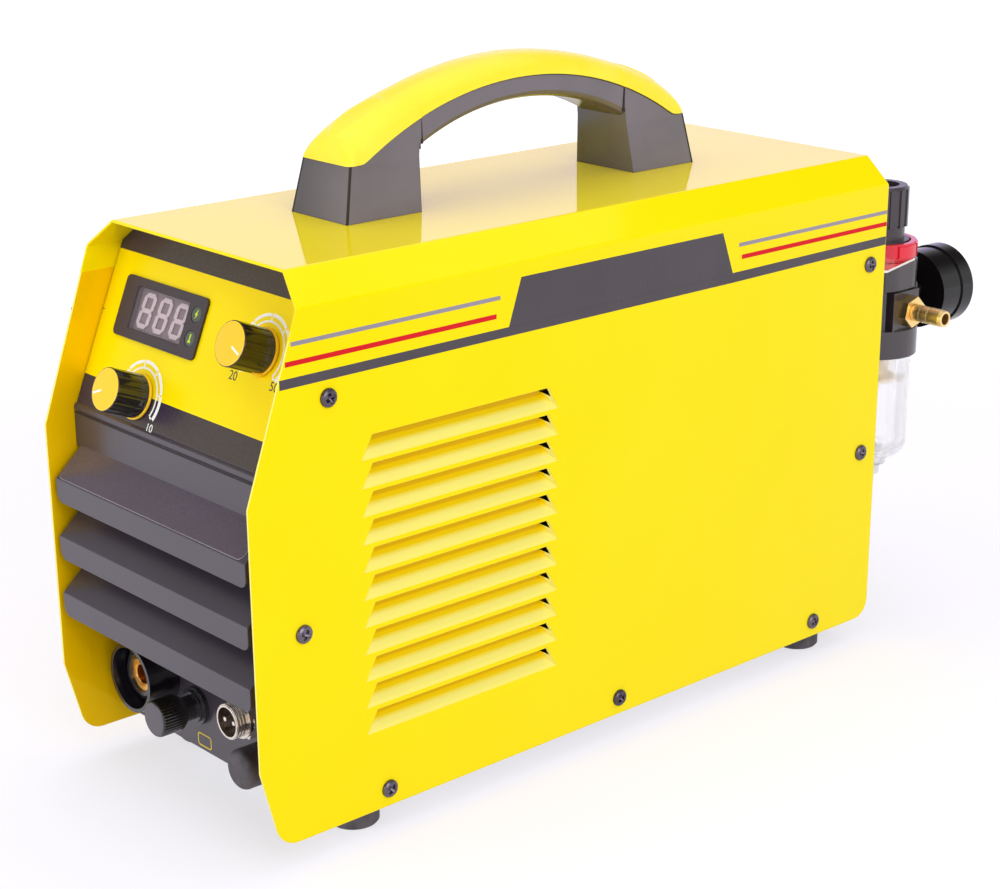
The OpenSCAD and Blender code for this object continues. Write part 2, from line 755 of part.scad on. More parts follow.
module handle_base() {
    grip = grip_w / 2;
    color([0.15, 0.15, 0.16]) translate([handle_x, 0, 0]) difference() {
        intersection() {
            across(-30, 30) intersection() {
                below_parting();
                handle_ends();
            }
            along(handle_limits[0], handle_limits[1]) handle_front();
            handle_plan(handle_w, 2);
            // soft lower edges along the grip
            union() {
                arch_ring(handle_mid, gap_z, gap_r, 28.4) polygon([[gap_r, -grip + 4],
                    [gap_r + 1.2, -grip + 1.4], [gap_r + 4, -grip], [gap_r + 30, -grip],
                    [gap_r + 30, grip], [gap_r + 4, grip], [gap_r + 1.2, grip - 1.4], [gap_r, grip - 4]]);
                for (side = [-1, 1]) translate([-30, handle_mid + side * 94.6 - 32, roof_z - 1])
                    cube([60, 64, 90]);
            }
        }
        across(-30, 30) finger_gap();
        grip_recess(grip);
        for (y = handle_screw_y) translate([0, y, roof_z - 1]) cylinder(r = 2.5, h = 17);
    }
}

// Cap over the arch: domed crown, rounded ends, seated on the parting line.
module handle_cap() {
    half = grip_w / 2 + 0.8;
    dome = 13.5;
    steps = 16;
    color([1, 0.88, 0.05]) translate([handle_x, 0, 0]) intersection() {
        arch_ring(crown_mid, crown_z, crown_r, 34) polygon(concat([[crown_r - 60, -half],
            [crown_r - 60, half]], [for (i = [0:steps]) let (a = 180 * i / steps)
            [crown_r - dome + dome * sin(a), half * cos(a)]]));
        handle_plan(2 * half, 6);
        across(-30, 30) difference() {
            handle_ends();
            below_parting();
            translate([handle_limits[0], roof_z - 1]) square([260, 3]);
        }
        difference() {
            translate([-30, handle_limits[0], roof_z]) cube([60, 260, 90]);
            grip_recess(half);
        }
    }
}

module handle_screws() {
    color([0.6, 0.6, 0.63]) for (y = handle_screw_y) translate([handle_x, y, roof_z - sheet])
        rotate([180, 0, 0]) union() {
            cylinder(r = 4.6, h = 2.6);
            translate([0, 0, -15]) cylinder(r = 2.5, h = 15 + eps);
        }
}

// ---- rear ----

module fan_holes() {
    for (x = [-1, 1], z = [-1, 1]) translate([x * fan_pitch, 0, z * fan_pitch]) children();
}

module fan_frame() {
    front = rear_y - fan_deep;
    color([0.1, 0.1, 0.11]) translate([fan_at.x, 0, fan_at.y]) difference() {
        union() {
            difference() {
                along(front, rear_y) round_box(fan_size, fan_size, 4);
                rod_y(43, front - 1, rear_y + 1);
            }
            rod_y(17, front, front + 4);
            for (a = [45:90:315]) rotate([0, a, 0]) translate([15, front, -2]) cube([30, 3, 4]);
        }
        fan_holes() rod_y(screw_r + 0.02, front - 1, rear_y + 1);
        rod_y(2.55, front - 1, front + 10);
    }
}

// Seven flat blades set at a pitch round a hub with its pin.
module fan_rotor() {
    blades = 7;
    front = rear_y - fan_deep;
    color([0.14, 0.14, 0.15]) translate([fan_at.x, 0, fan_at.y]) union() {
        rod_y(18, front + 4.6, rear_y - 2.5);
        rod_y(2.5, front + 0.5, front + 5);
        for (i = [0:blades - 1]) rotate([0, i * 360 / blades, 0]) intersection() {
            translate([0, front + 13.6, 0]) rotate([0, 0, 32]) translate([-14, -0.9, 12]) cube([28, 1.8, 34]);
            rod_y(41, front + 5, rear_y - 2.5);
        }
    }
}

// Wire grille: rings on four spokes with screw eyes.
module fan_guard() {
    wire = 0.9;
    color([0.7, 0.7, 0.72]) translate([fan_at.x, rear_face, fan_at.y]) rotate([-90, 0, 0]) linear_extrude(2.2)
        difference() {
            union() {
                for (r = [9:7.5:39]) difference() {
                    circle(r + wire);
                    circle(r - wire);
                }
                for (a = [45:90:315]) rotate(a) translate([9, -wire]) square([46, 2 * wire]);
                for (x = [-1, 1], y = [-1, 1]) translate([x, y] * fan_pitch) circle(5);
            }
            for (x = [-1, 1], y = [-1, 1]) translate([x, y] * fan_pitch) circle(screw_hole_r);
        }
}

// Two-pole breaker: stepped case through the panel, slot for the lever.
module breaker_body() {
    color([0.85, 0.85, 0.83]) translate([breaker_at.x, 0, breaker_at.y]) difference() {
        union() {
            along(-72, rear_face) square([18, 80], center = true) ;
            along(rear_face - eps, rear_face + 6) square([18, 45], center = true);
        }
        along(rear_y - eps, rear_face + eps) difference() {
            square([30, 90], center = true);
            square([18.2, 46.2], center = true);
        }
        translate([-5, rear_face - 7, -13]) cube([10, 20, 26]);
        translate([0, rear_face - 2, 0]) rod_x(1.55, -7, 7);
    }
}

module breaker_lever() {
    color([0.1, 0.1, 0.1]) translate([breaker_at.x, rear_face - 2, breaker_at.y]) {
        rod_x(1.5, -6.8, 6.8);
        rod_x(4.6, -4.6, 4.6);
        rotate([-35, 0, 0]) translate([-4.2, 2, -2.4]) cube([8.4, 15, 4.8]);
    }
}

module mains_gland() {
    color([0.08, 0.08, 0.09]) translate([gland_at.x, 0, gland_at.y]) difference() {
        union() {
            hex_y(22, rear_face, rear_face + 5);
            rod_y(8, rear_y - 12, rear_face + 8);
            rod_y(10.5, rear_face + 5 - eps, rear_face + 16);
            hex_y(22, rear_y - 5, rear_y);
            rod_y(9, rear_face + 16 - eps, rear_face + 19);
        }
        rod_y(5, rear_y - 20, rear_face + 30);
    }
}

// Bulkhead push-in fitting for the air line.
module gas_inlet() {
    color([0.8, 0.62, 0.25]) translate([inlet_at.x, 0, inlet_at.y]) difference() {
        union() {
            rod_y(6.5, rear_y - 14, rear_face + 8);
            hex_y(17, rear_face, rear_face + 4);
            hex_y(17, rear_y - 4, rear_y);
            rod_y(7.5, rear_face + 8 - eps, rear_face + 14);
        }
        rod_y(4.05, rear_face - 2, rear_face + 20);
        rod_y(2.5, rear_y - 20, rear_face);
    }
}

// ---- filter regulator ----

bracket_screw_x = [-15, 15];
bracket_screw_z = 212;

module on_axis(z = 0) {
    translate([reg_x, reg_y, z]) children();
}

// Angle plate: upright leg on the panel, tapering shelf clamped under the lock ring.
module filter_bracket() {
    shelf_low = ring_low - bracket_t;
    tongue = [[-24.3, rear_face], [24.3, rear_face], [24.3, 0.5], [26, 2.5], [17.6, reg_y + 8],
        [8, reg_y + 19.5], [-8, reg_y + 19.5], [-17.6, reg_y + 8], [-26, 2.5], [-24.3, 0.5]];
    color([0.7, 0.7, 0.72]) difference() {
        union() {
            translate([reg_x, 0, shelf_low]) linear_extrude(bracket_t)
                polygon(rounded(tongue, [0, 0, 0, 1, 8, 8, 8, 8, 1, 0]));
            translate([reg_x - 24.3, rear_face, shelf_low]) cube([48.6, bracket_t, 26]);
        }
        for (x = bracket_screw_x) translate([reg_x + x, 0, bracket_screw_z]) rod_y(screw_r + 0.02, rear_face - 1, 5);
        on_axis() cylinder(r = 14.05, h = 300);
    }
}

module regulator_body() {
    port_r = 6;
    top = ring_low - bracket_t;
    color([0.1, 0.1, 0.11]) difference() {
        union() {
            on_axis(bonnet_low) linear_extrude(top - bonnet_low) round_box(36, 31, 10);
            on_axis(top - eps) cylinder(r = 14, h = flange_z - 0.5 - top);
            // port block, gauge boss and the bowl's collar
            on_axis() across(-19.2, 19.2) translate([0, port_z]) square([2 * port_half, 2 * port_half], center = true);
            on_axis(collar_top - eps) cylinder(r = 17.5, h = bonnet_low - collar_top + 2 * eps);
            on_axis(gauge_z) along(0, 18) round_box(24, 19, 3);
            on_axis(collar_low) cylinder(r = 21.5, h = collar_top - collar_low);
        }
        on_axis(port_z) {
            rod_x(port_r, 13, 30);
            rod_x(port_r, -30, -13);
        }
        on_axis(gauge_z) rod_y(4, 14, 30);
        on_axis(collar_low - 1) cylinder(r = bowl_d / 2 + 0.02, h = 11);
        on_axis(collar_low + 5) cylinder(r = 9, h = 9.5);
        on_axis(184) cylinder(r = 10.2, h = 40);
    }
}

// Notched ring nut that clamps the bracket; the knob's flange sinks into its mouth.
module lock_ring() {
    notches = 8;
    r = 19.4;
    color([0.85, 0.08, 0.15]) on_axis(ring_low) difference() {
        union() {
            cylinder(r = r - 0.8, h = ring_top - ring_low);
            translate([0, 0, 0.8]) cylinder(r = r, h = ring_top - ring_low - 1.8);
        }
        translate([0, 0, -1]) cylinder(r = 14.02, h = 20);
        translate([0, 0, ring_top - ring_low - 3.4]) cylinder(r = 15.9, h = 5);
        for (i = [0:notches - 1]) rotate([0, 0, (i + 0.5) * 360 / notches])
            translate([r - 1, -0.9, 1.5]) cube([3, 1.8, 20]);
    }
}

module regulator_spindle() {
    color([0.75, 0.75, 0.72]) on_axis() union() {
        translate([0, 0, 185]) cylinder(r = 10.14, h = 9);
        translate([0, 0, 194 - eps]) cylinder(r = 5, h = 27);
    }
}

// Ribbed knob: hollow top, tall ribbed grip, plain neck and a flange.
module regulator_knob() {
    ribs = 14;
    r = 13;
    rib_low = 211.2;
    color([0.12, 0.12, 0.13]) on_axis() difference() {
        union() {
            translate([0, 0, rib_low + 1]) cylinder(r = r, h = reg_top - rib_low - 2.6);
            translate([0, 0, reg_top - 1.6 - eps]) cylinder(r1 = r + 0.6, r2 = r - 0.5, h = 1.6);
            translate([0, 0, flange_z + 1.5]) cylinder(r = r - 0.6, h = 10);
            translate([0, 0, flange_z]) cylinder(r = 15, h = 1.8);
            for (i = [0:ribs - 1]) rotate([0, 0, i * 360 / ribs])
                translate([r - 1, -1.5, rib_low]) cube([1.7, 3, reg_top - rib_low - 1.4]);
        }
        translate([0, 0, reg_top - 9]) cylinder(r = 8.6, h = 20);
        translate([0, 0, 190]) cylinder(r = 5.05, h = 31.6);
    }
}

module gauge_case() {
    r = gauge_d / 2;
    back = gauge_back - reg_y;
    front = gauge_front - reg_y;
    color([0.06, 0.06, 0.07]) on_axis(gauge_z) difference() {
        union() {
            rod_y(3.95, 14.2, 19);
            hex_y(12, 18, 24);
            rod_y(5, 24 - eps, back + 1);
            rod_y(r - 0.8, back, front - 8.6);
            rod_y(r, front - 8.6 - eps, front);
        }
        rod_y(r - 2, back + 4, front + 10);
    }
}

module gauge_dial() {
    back = gauge_back - reg_y;
    color([0.95, 0.95, 0.93]) on_axis(gauge_z) difference() {
        rod_y(gauge_d / 2 - 2, back + 4, back + 14.5);
        rod_y(1.05, back + 6, back + 20);
    }
}

// Pointer on its arbor, lying towards zero at the lower left of the dial seen from behind.
module gauge_needle() {
    face = gauge_back - reg_y + 14.5;
    color([0.1, 0.1, 0.1]) on_axis(gauge_z) union() {
        rod_y(1, face - 6, face + 2);
        rod_y(2, face + 1.2, face + 2.8);
        rotate([0, needle_rest, 0]) translate([-0.6, face + 1.4, -4]) cube([1.2, 0.7, 18]);
    }
}

needle_rest = 135;

module gauge_lens() {
    front = gauge_front - reg_y;
    color([0.8, 0.9, 0.95, 0.35]) on_axis(gauge_z) rod_y(gauge_d / 2 - 2, front - 2.5, front - 0.5);
}

// Brass inlet tail: threaded end, hex and a ridged hose barb.
module hose_barb() {
    tip = barb_tip - reg_x;
    crest = 4.4;
    color([0.8, 0.62, 0.25]) on_axis(port_z) difference() {
        union() {
            rod_x(6, 13.2, 19.5);
            translate([19.2, 0, 0]) rotate([-14, 0, 0]) rotate([0, 90, 0])
                cylinder(d = 14 / cos(30), h = hex_end - 19.2, $fn = 6);
            rod_x(4.1, hex_end - eps, tip - 8);
            for (x = [hex_end + 0.4, hex_end + 5.2]) translate([x, 0, 0]) {
                rod_x(crest, 0, 0.8);
                translate([0.8 - eps, 0, 0]) rotate([0, 90, 0]) cylinder(r1 = crest, r2 = 4.15, h = 3.6);
            }
            rod_x(crest, tip - 8.5, tip - 2);
            translate([tip - 2 - eps, 0, 0]) rotate([0, 90, 0]) cylinder(r1 = crest, r2 = 4, h = 2 + eps);
        }
        rod_x(2.9, 13, 50);
    }
}

// Push-in elbow on the outlet side, its mouth turned up.
module outlet_elbow() {
    color([0.12, 0.12, 0.14]) on_axis(port_z) difference() {
        union() {
            rod_x(6, -19.5, -13.2);
            rod_x(6.6, -31, -19.2);
            translate([-30, 0, -8]) cylinder(r = 7.2, h = 24);
        }
        translate([-30, 0, 4]) cylinder(r = 4.05, h = 20);
    }
}

// Clear bowl: thick rim, straight wall, rounded shoulder and a drain boss.
module filter_bowl() {
    r = bowl_d / 2;
    wall = 2;
    color([0.9, 0.93, 0.95, 0.35]) on_axis() rotate_extrude() polygon(concat(
        [[6, bowl_low + 1], [9, bowl_low]],
        [for (i = [0:6]) [r - 8 + 8 * sin(i * 15), bowl_shoulder + 3 - 8 * cos(i * 15) - 3]],
        [[r, collar_low - 16], [r, collar_low + 8], [r - wall, collar_low + 8],
        [r - wall, bowl_shoulder + 1]],
        [for (i = [6:-1:0]) [r - wall - 7 + 7 * sin(i * 15), bowl_shoulder + 1 - 7 * cos(i * 15)]],
        [[8, bowl_low + 3.5], [6, bowl_low + 4]]));
}

element_low = 131.5;

module filter_element() {
    color([0.93, 0.82, 0.68]) on_axis() {
        translate([0, 0, collar_low + 5]) cylinder(r = 9, h = 8);
        translate([0, 0, element_low]) cylinder(r = 8, h = collar_low + 6 - element_low);
        translate([0, 0, element_low - 2]) cylinder(r = 11.5, h = 2 + eps);
        translate([0, 0, element_low - 7]) cylinder(r = 3, h = 6);
    }
}

// Drain stem through the bowl's floor, with its push button below.
module drain_valve() {
    color([0.75, 0.75, 0.76]) on_axis() union() {
        translate([0, 0, bowl_low + 4.2]) cylinder(r = 7.5, h = 2.5);
        translate([0, 0, bowl_low - 6]) cylinder(r = 5.9, h = 12);
        translate([0, 0, bowl_low - 11.2]) cylinder(r = 3.5, h = 6);
    }
}

// ---- inside ----

board_z = 112;

module main_board() {
    color([0.05, 0.28, 0.12]) union() {
        translate([-66, -300, board_z]) cube([132, 240, 1.6]);
        for (x = [-20, 0, 20], y = [-120, -100]) translate([x - 6, y, board_z + 1.6 - eps]) cube([12, 14, 16]);
    }
}

// Two finned blocks standing on the tray under the board.
module heatsinks() {
    fins = 7;
    color([0.75, 0.76, 0.78]) both_sides() translate([38, -250, tray_z + tray_sheet]) union() {
        cube([5, 130, board_z - tray_z - tray_sheet]);
        for (i = [0:fins - 1]) translate([5 - eps, 0, 4 + i * 14]) cube([20, 130, 3]);
    }
}

module main_transformer() {
    base = tray_z + tray_sheet;
    color([0.35, 0.22, 0.12]) translate([-32, -165, base]) union() {
        cube([64, 12, 60]);
        translate([0, 34, 0]) cube([64, 12, 60]);
        translate([22, 10, 20]) cube([20, 26, 20]);
        translate([12, 11, 11]) cube([40, 24, 38]);
    }
}

module output_choke() {
    base = tray_z + tray_sheet;
    color([0.7, 0.4, 0.2]) translate([0, -225, base]) union() {
        rotate_extrude() translate([18, 12]) round_box(18, 24, 5);
        translate([-20, -2, 0]) cube([40, 4, 3]);
    }
}

module bus_capacitors() {
    color([0.12, 0.13, 0.2]) for (x = [-42, 0, 42], y = [-250, -205])
        translate([x, y, board_z + 1.6]) union() {
            cylinder(r = 17, h = 46);
            translate([0, 0, 46 - eps]) cylinder(r = 15.8, h = 1);
        }
}

module solenoid_valve() {
    color([0.3, 0.3, 0.32]) translate([26, -52, tray_z + tray_sheet]) union() {
        cube([22, 30, 22]);
        translate([2, 4, 22 - eps]) cube([18, 22, 30]);
        translate([11, -8, 11]) rod_y(5, 0, 9);
        translate([11, 29, 11]) rod_y(5, 0, 8);
    }
}

module hf_unit() {
    color([0.2, 0.2, 0.24]) translate([-30, -330, tray_z + tray_sheet]) union() {
        cube([60, 44, 4]);
        for (x = [4, 44]) translate([x, 8, 4 - eps]) cube([12, 26, 26]);
        translate([30, 22, 18]) rod_x(11, -14.5, 14.5);
        translate([18, 11, 4 - eps]) cube([24, 22, 8]);
    }
}

placed() top_cover();
placed() base_tray();
placed() front_fascia();
placed() rear_panel();
placed() control_label();
placed() rubber_feet();
placed() panel_screws();
placed() handle_base();
placed() handle_cap();
placed() handle_screws();
placed() display_bezel();
placed() display_window();
placed() display_digits();
placed() indicator_lamps();
placed() potentiometers();
placed() control_board();
placed() current_knob();
placed() current_knob_cap();
placed() current_shaft();
placed() gas_knob();
placed() gas_knob_cap();
placed() gas_shaft();
placed() earth_socket_collar();
placed() earth_socket_insert();
placed() pilot_post();
placed() pilot_nut();
placed() trigger_socket_shell();
placed() trigger_socket_core();
placed() trigger_socket_pins();
placed() torch_stud();
placed() torch_cap();
placed() filter_bracket();
placed() regulator_body();
placed() lock_ring();
placed() regulator_spindle();
placed() regulator_knob();
placed() gauge_case();
placed() gauge_dial();
placed() gauge_needle();
placed() gauge_lens();
placed() hose_barb();
placed() outlet_elbow();
placed() gas_inlet();
placed() filter_bowl();
placed() filter_element();
placed() drain_valve();
placed() fan_frame();
placed() fan_rotor();
placed() fan_guard();
placed() breaker_body();
placed() breaker_lever();
placed() mains_gland();
placed() main_board();
placed() heatsinks();
placed() main_transformer();
placed() output_choke();
placed() bus_capacitors();
placed() solenoid_valve();
placed() hf_unit();
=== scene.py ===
# %% [markdown]
# # A plasma cutter, dressed
# The cutter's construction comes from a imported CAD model, already in metres and in place.
# This lesson gives every part its finish, and remakes in finer form the small parts that
# the eye goes to: knobs, screws, digits and printed marks. Each new shape is a surface
# worked out with numpy: a function of two parameters on a grid.

# %% Tools and frame
import json
import math

import bmesh
import bpy
import numpy as np
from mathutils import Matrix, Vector


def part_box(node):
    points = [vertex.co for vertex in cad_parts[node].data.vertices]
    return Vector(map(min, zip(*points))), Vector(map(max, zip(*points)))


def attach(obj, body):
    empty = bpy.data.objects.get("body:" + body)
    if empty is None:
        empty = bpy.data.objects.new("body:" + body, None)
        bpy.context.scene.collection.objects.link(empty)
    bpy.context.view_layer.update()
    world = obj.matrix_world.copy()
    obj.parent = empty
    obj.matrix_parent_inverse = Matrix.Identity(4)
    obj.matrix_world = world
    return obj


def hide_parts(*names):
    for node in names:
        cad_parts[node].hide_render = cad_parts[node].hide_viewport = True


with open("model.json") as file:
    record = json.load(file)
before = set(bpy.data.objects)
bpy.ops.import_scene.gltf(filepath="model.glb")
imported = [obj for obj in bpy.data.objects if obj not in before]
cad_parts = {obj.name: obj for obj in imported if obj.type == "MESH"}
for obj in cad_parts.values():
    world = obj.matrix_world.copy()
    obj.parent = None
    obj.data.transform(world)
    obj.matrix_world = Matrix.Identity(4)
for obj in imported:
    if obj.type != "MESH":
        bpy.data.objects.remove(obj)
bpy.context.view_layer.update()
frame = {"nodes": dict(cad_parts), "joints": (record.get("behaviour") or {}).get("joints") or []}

# %% [markdown]
# Makers measure this unit from the middle of its cover, from the cover's rear edge and from
# the floor. The cover's box in the frame gives that place, so a point can be written in the
# maker's millimetres and still land on the CAD parts.

# %% Places in millimetres
MM = 0.001
cover_low, cover_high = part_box("top_cover")
CHEEK_X = (cover_high.x - cover_low.x) / 2 / MM
MIDDLE = np.array([(cover_low.x + cover_high.x) / 2, cover_high.y, 0.0])


def at(points):
    """Millimetres from the cover's middle, its rear edge and the floor, as metres in the frame."""
    return MIDDLE + np.asarray(points, float) * MM


print("cheeks at +-", round(CHEEK_X, 2), "mm")

# %% [markdown]
# The control panel leans back, and the current knob stands square on it. So the axis and the
# place of the knob's joint give the panel its own directions: across, uphill and outwards.

# %% The leaning panel
knob_joint = next(joint for joint in frame["joints"] if joint["name"] == "current_turn")
ACROSS = np.array([1.0, 0, 0])
PANEL_OUT = np.array(knob_joint["axis"], float)
PANEL_UP = np.array([0.0, PANEL_OUT[2], -PANEL_OUT[1]])
CURRENT_AT = np.array([43.0, -23.3])
GAS_AT = np.array([-30.7, -58.6])
PANEL_AT = np.array(knob_joint["pos_m"]) - MM * (
    CURRENT_AT[0] * ACROSS + CURRENT_AT[1] * PANEL_UP)


def on_panel(x, s, h):
    """A point of the panel: x across, s uphill and h outwards, all in millimetres.

    The formula is origin + x * across + s * uphill + h * outwards."""
    x, s, h = (v[..., None] for v in np.broadcast_arrays(x, s, h))
    return PANEL_AT + MM * (x * ACROSS + s * PANEL_UP + h * PANEL_OUT)


print("panel leans", round(math.degrees(math.asin(PANEL_OUT[2])), 1), "degrees")

# %% [markdown]
# The camera stands to the right of the front, a little over a metre away, and looks down at
# the cutter with a long lens. Its place, turn, tilt, roll and lens fix the view.

# %% Camera
CAMERA_AT = (744.74, -855.11, 455.28)
CAMERA_YAW = 48.15
CAMERA_DOWN = 18.13
CAMERA_ROLL = -0.07
LENS = 79.54


def put(name, data):
    """A new object in the scene, at the origin."""
    made = bpy.data.objects.new(name, data)
    bpy.context.scene.collection.objects.link(made)
    return made


lens = bpy.data.cameras.new("camera")
lens.lens = LENS
lens.sensor_width = 36.0
lens.dof.use_dof = False
camera = put("camera", lens)
camera.location = at(CAMERA_AT)
camera.rotation_euler = [math.radians(v) for v in (90 - CAMERA_DOWN, 0, CAMERA_YAW)]
camera.rotation_euler.rotate_axis("Z", math.radians(CAMERA_ROLL))
bpy.context.scene.camera = camera
bpy.context.scene.view_settings.view_transform = "Standard"
print("camera at", [round(v, 3) for v in camera.location])

# %% [markdown]
# Colours are easier to choose as they look on a screen, while shaders count in light.
# `ink` turns a screen colour, 0 to 255, into the shader's numbers. The curve is the screen
# standard's own: a straight foot, then a power of 2.4.


# %% Colours
def ink(colour):
    """A screen colour as light: v / 12.92 near black, else ((v + 0.055) / 1.055) ** 2.4."""
    v = np.array(colour) / 255
    light = np.where(v <= 0.04045, v / 12.92, ((v + 0.055) / 1.055) ** 2.4)
    return (*light.tolist(), 1.0)


YELLOW = (255, 230, 0)
print("yellow paint as light", [round(v, 3) for v in ink(YELLOW)])

# %% [markdown]
# A material is a network of nodes. `fill` sets a node's inputs, or links them where it is
# given another node's output. The helpers after it let a network read like a formula.


# %% Nodes
def fill(node, inputs):
    """Sets each input to its value, or links it to the output that stands there."""
    for label, value in inputs.items():
        if isinstance(value, bpy.types.NodeSocket):
            node.id_data.links.new(value, node.inputs[label])
        else:
            node.inputs[label].default_value = value
    return node


def add(tree, kind, inputs=None):
    """A new node of this kind with its inputs filled."""
    return fill(tree.nodes.new("ShaderNode" + kind), inputs or {})


def maths(tree, operation, *values, kind="Math", output=0):
    """One operation on numbers or outputs; a VectorMath node has its plain number in output 1."""
    node = add(tree, kind)
    node.operation = operation
    return fill(node, dict(enumerate(values))).outputs[output]


def ramp(tree, value, low, high, start=0.0, end=1.0):
    """A straight line from start at low to end at high, level on both sides."""
    return add(tree, "MapRange", {"Value": value, "From Min": low, "From Max": high,
                                  "To Min": start, "To Max": end}).outputs["Result"]


def mix(tree, factor, a, b, kind="RGBA"):
    """a * (1 - factor) + b * factor; kind is RGBA for colours and FLOAT for numbers."""
    node = add(tree, "Mix")
    node.data_type = kind
    return fill(node, {"Factor": factor, "A": a, "B": b}).outputs["Result"]


def here(tree):
    """The shaded point in Object coordinates."""
    return add(tree, "TexCoord").outputs["Object"]


def axes(tree, vector):
    """The X, Y and Z of a vector."""
    return add(tree, "SeparateXYZ", {0: vector}).outputs


# %% [markdown]
# Every finish here has the same three small lives: its colour drifts over a hand's width,
# its gloss drifts too, and its skin has a grain. Each is a node group with named sockets,
# built once and placed in each material with its own values.


# %% Shared effects
def new_group(name, inputs, output):
    """A shader group, the values given to it and its sink; sockets are (name, kind)."""
    group = bpy.data.node_groups.new(name, "ShaderNodeTree")
    for way, sockets in (("INPUT", inputs), ("OUTPUT", [output])):
        for label, kind in sockets:
            group.interface.new_socket(label, in_out=way, socket_type="NodeSocket" + kind)
    return group, group.nodes.new("NodeGroupInput").outputs, group.nodes.new("NodeGroupOutput")


def noise(group, detail, scale):
    """A noise on Object coordinates, from 0 to 1."""
    return add(group, "TexNoise", {"Vector": here(group), "Detail": detail,
                                   "Scale": scale}).outputs["Fac"]


def drift_group():
    """Mixes a colour with its shade by slow noise, sharpened to run from 0.35 to 0.7."""
    group, given, sink = new_group("colour_drift", [("Colour", "Color"), ("Shade", "Color"),
                                                    ("Scale", "Float")], ("Colour", "Color"))
    share = ramp(group, noise(group, 3, given["Scale"]), 0.35, 0.7)
    fill(sink, {"Colour": mix(group, share, given["Colour"], given["Shade"])})
    return group


def gloss_group():
    """Roughness that wanders: roughness + spread * (noise - 0.5)."""
    group, given, sink = new_group("gloss_drift", [("Roughness", "Float"), ("Spread", "Float"),
                                                   ("Scale", "Float")], ("Roughness", "Float"))
    wander = maths(group, "SUBTRACT", noise(group, 4, given["Scale"]), 0.5)
    fill(sink, {"Roughness": maths(group, "MULTIPLY_ADD", wander, given["Spread"],
                                   given["Roughness"])})
    return group


def grain_group():
    """The skin's height: fine noise + 0.6 * a noise with a quarter of its scale."""
    group, given, sink = new_group("skin_grain", [("Scale", "Float")], ("Height", "Float"))
    coarse = noise(group, 2, maths(group, "MULTIPLY", given["Scale"], 0.25))
    fill(sink, {"Height": maths(group, "MULTIPLY_ADD", coarse, 0.6,
                                noise(group, 3, given["Scale"]))})
    return group


EFFECTS = {"colour": drift_group(), "gloss": gloss_group(), "grain": grain_group()}
print("effects", sorted(EFFECTS))

# %% [markdown]
# A finish places those groups round one Principled shader. What is the same all over the
# surface, such as metalness or a clear coat, is set on the shader's own sockets. A Bevel
# node rounds the light on sharp CAD edges by a fraction of a millimetre, as moulding and
# paint do.

# %% One function for every finish
GLOSS_SCALE = 40.0
COAT_ROUGH = 0.1


def effect(tree, name, **inputs):
    """One of the shared effects, placed in a material with its own values."""
    node = add(tree, "Group")
    node.node_tree = EFFECTS[name]
    return fill(node, inputs).outputs[0]


def new_material(name):
    """An empty material, its tree and its Principled shader."""
    material = bpy.data.materials.new(name)
    material.use_nodes = True
    return material, material.node_tree, material.node_tree.nodes["Principled BSDF"]


def finish(name, colour, shade, rough, spread=0.1, metal=0.0, grain=(900, 0.1), edge=0.3,
           drift=12.0, coat=0.0, glass=0.0, ior=1.5, mirror=(1, 1, 1, 1), shine=0.5, alpha=1.0):
    """A material: grain is (scale, depth in mm), edge the light's rounding in mm.

    The colour drifts into its shade over 1 / drift of a metre. Mirror tints what the surface
    mirrors when it is looked at squarely, and shine says how strongly it mirrors."""
    material, tree, shader = new_material(name)
    bump = add(tree, "Bump", {"Strength": 1.0, "Distance": grain[1] * MM,
                              "Height": effect(tree, "grain", Scale=grain[0])})
    if edge:
        bevel = add(tree, "Bevel", {"Radius": edge * MM})
        bevel.samples = 4
        fill(bump, {"Normal": bevel.outputs["Normal"]})
    fill(shader, {
        "Base Color": effect(tree, "colour", Colour=ink(colour), Shade=ink(shade), Scale=drift),
        "Roughness": effect(tree, "gloss", Roughness=rough, Spread=spread, Scale=GLOSS_SCALE),
        "Normal": bump.outputs["Normal"], "Metallic": metal, "Coat Weight": coat,
        "Coat Roughness": COAT_ROUGH, "Transmission Weight": glass, "IOR": ior,
        "Specular IOR Level": shine, "Specular Tint": mirror, "Alpha": alpha})
    return material


def repaint(material, mask, colour):
    """Lays a colour over the finish's own, where mask is 1."""
    tree = material.node_tree
    shader = tree.nodes["Principled BSDF"]
    own = shader.inputs["Base Color"].links[0].from_socket
    fill(shader, {"Base Color": mix(tree, mask, own, colour)})
    return material


def wear(material, *nodes):
    """Gives CAD nodes this material on every slot."""
    for name in nodes:
        slots = frame["nodes"][name].data.materials
        if not slots:
            slots.append(material)
        for i in range(len(slots)):
            slots[i] = material
    print(material.name, "on", *nodes)


# %% [markdown]
# ## Sheet metal
# The cover is folded steel with a thick glossy powder coat: an even yellow with a faint
# orange-peel skin. Between the cheeks the paint is lit by yellow light that has bounced, so
# its faces inside the cover carry a painted bounce light, a little more golden. The pressed
# louvres carry painted light: a paler painted highlight on their slopes and a deeper painted
# shade under the cut edge.

# %% Sheet metal finishes
# Painted bounce light: the golden colour that the faces inside the cover take.
BOUNCE_GOLD = (254, 202, 0)
# Louvre colours by depth in mm: a pale painted highlight on the slopes, then a deeper painted shade
# under the cut edge.
LOUVRE_LIGHT_AND_SHADE = ((0.0, YELLOW), (0.35, (255, 243, 120)), (2.6, (255, 243, 128)), (3.9, (255, 224, 10)),
           (4.6, (250, 206, 0)), (5.2, (226, 172, 0)))
DEEPEST = LOUVRE_LIGHT_AND_SHADE[-1][0]
PRESSED_FROM = 0.15
LOUVRE_TOP = 227.5


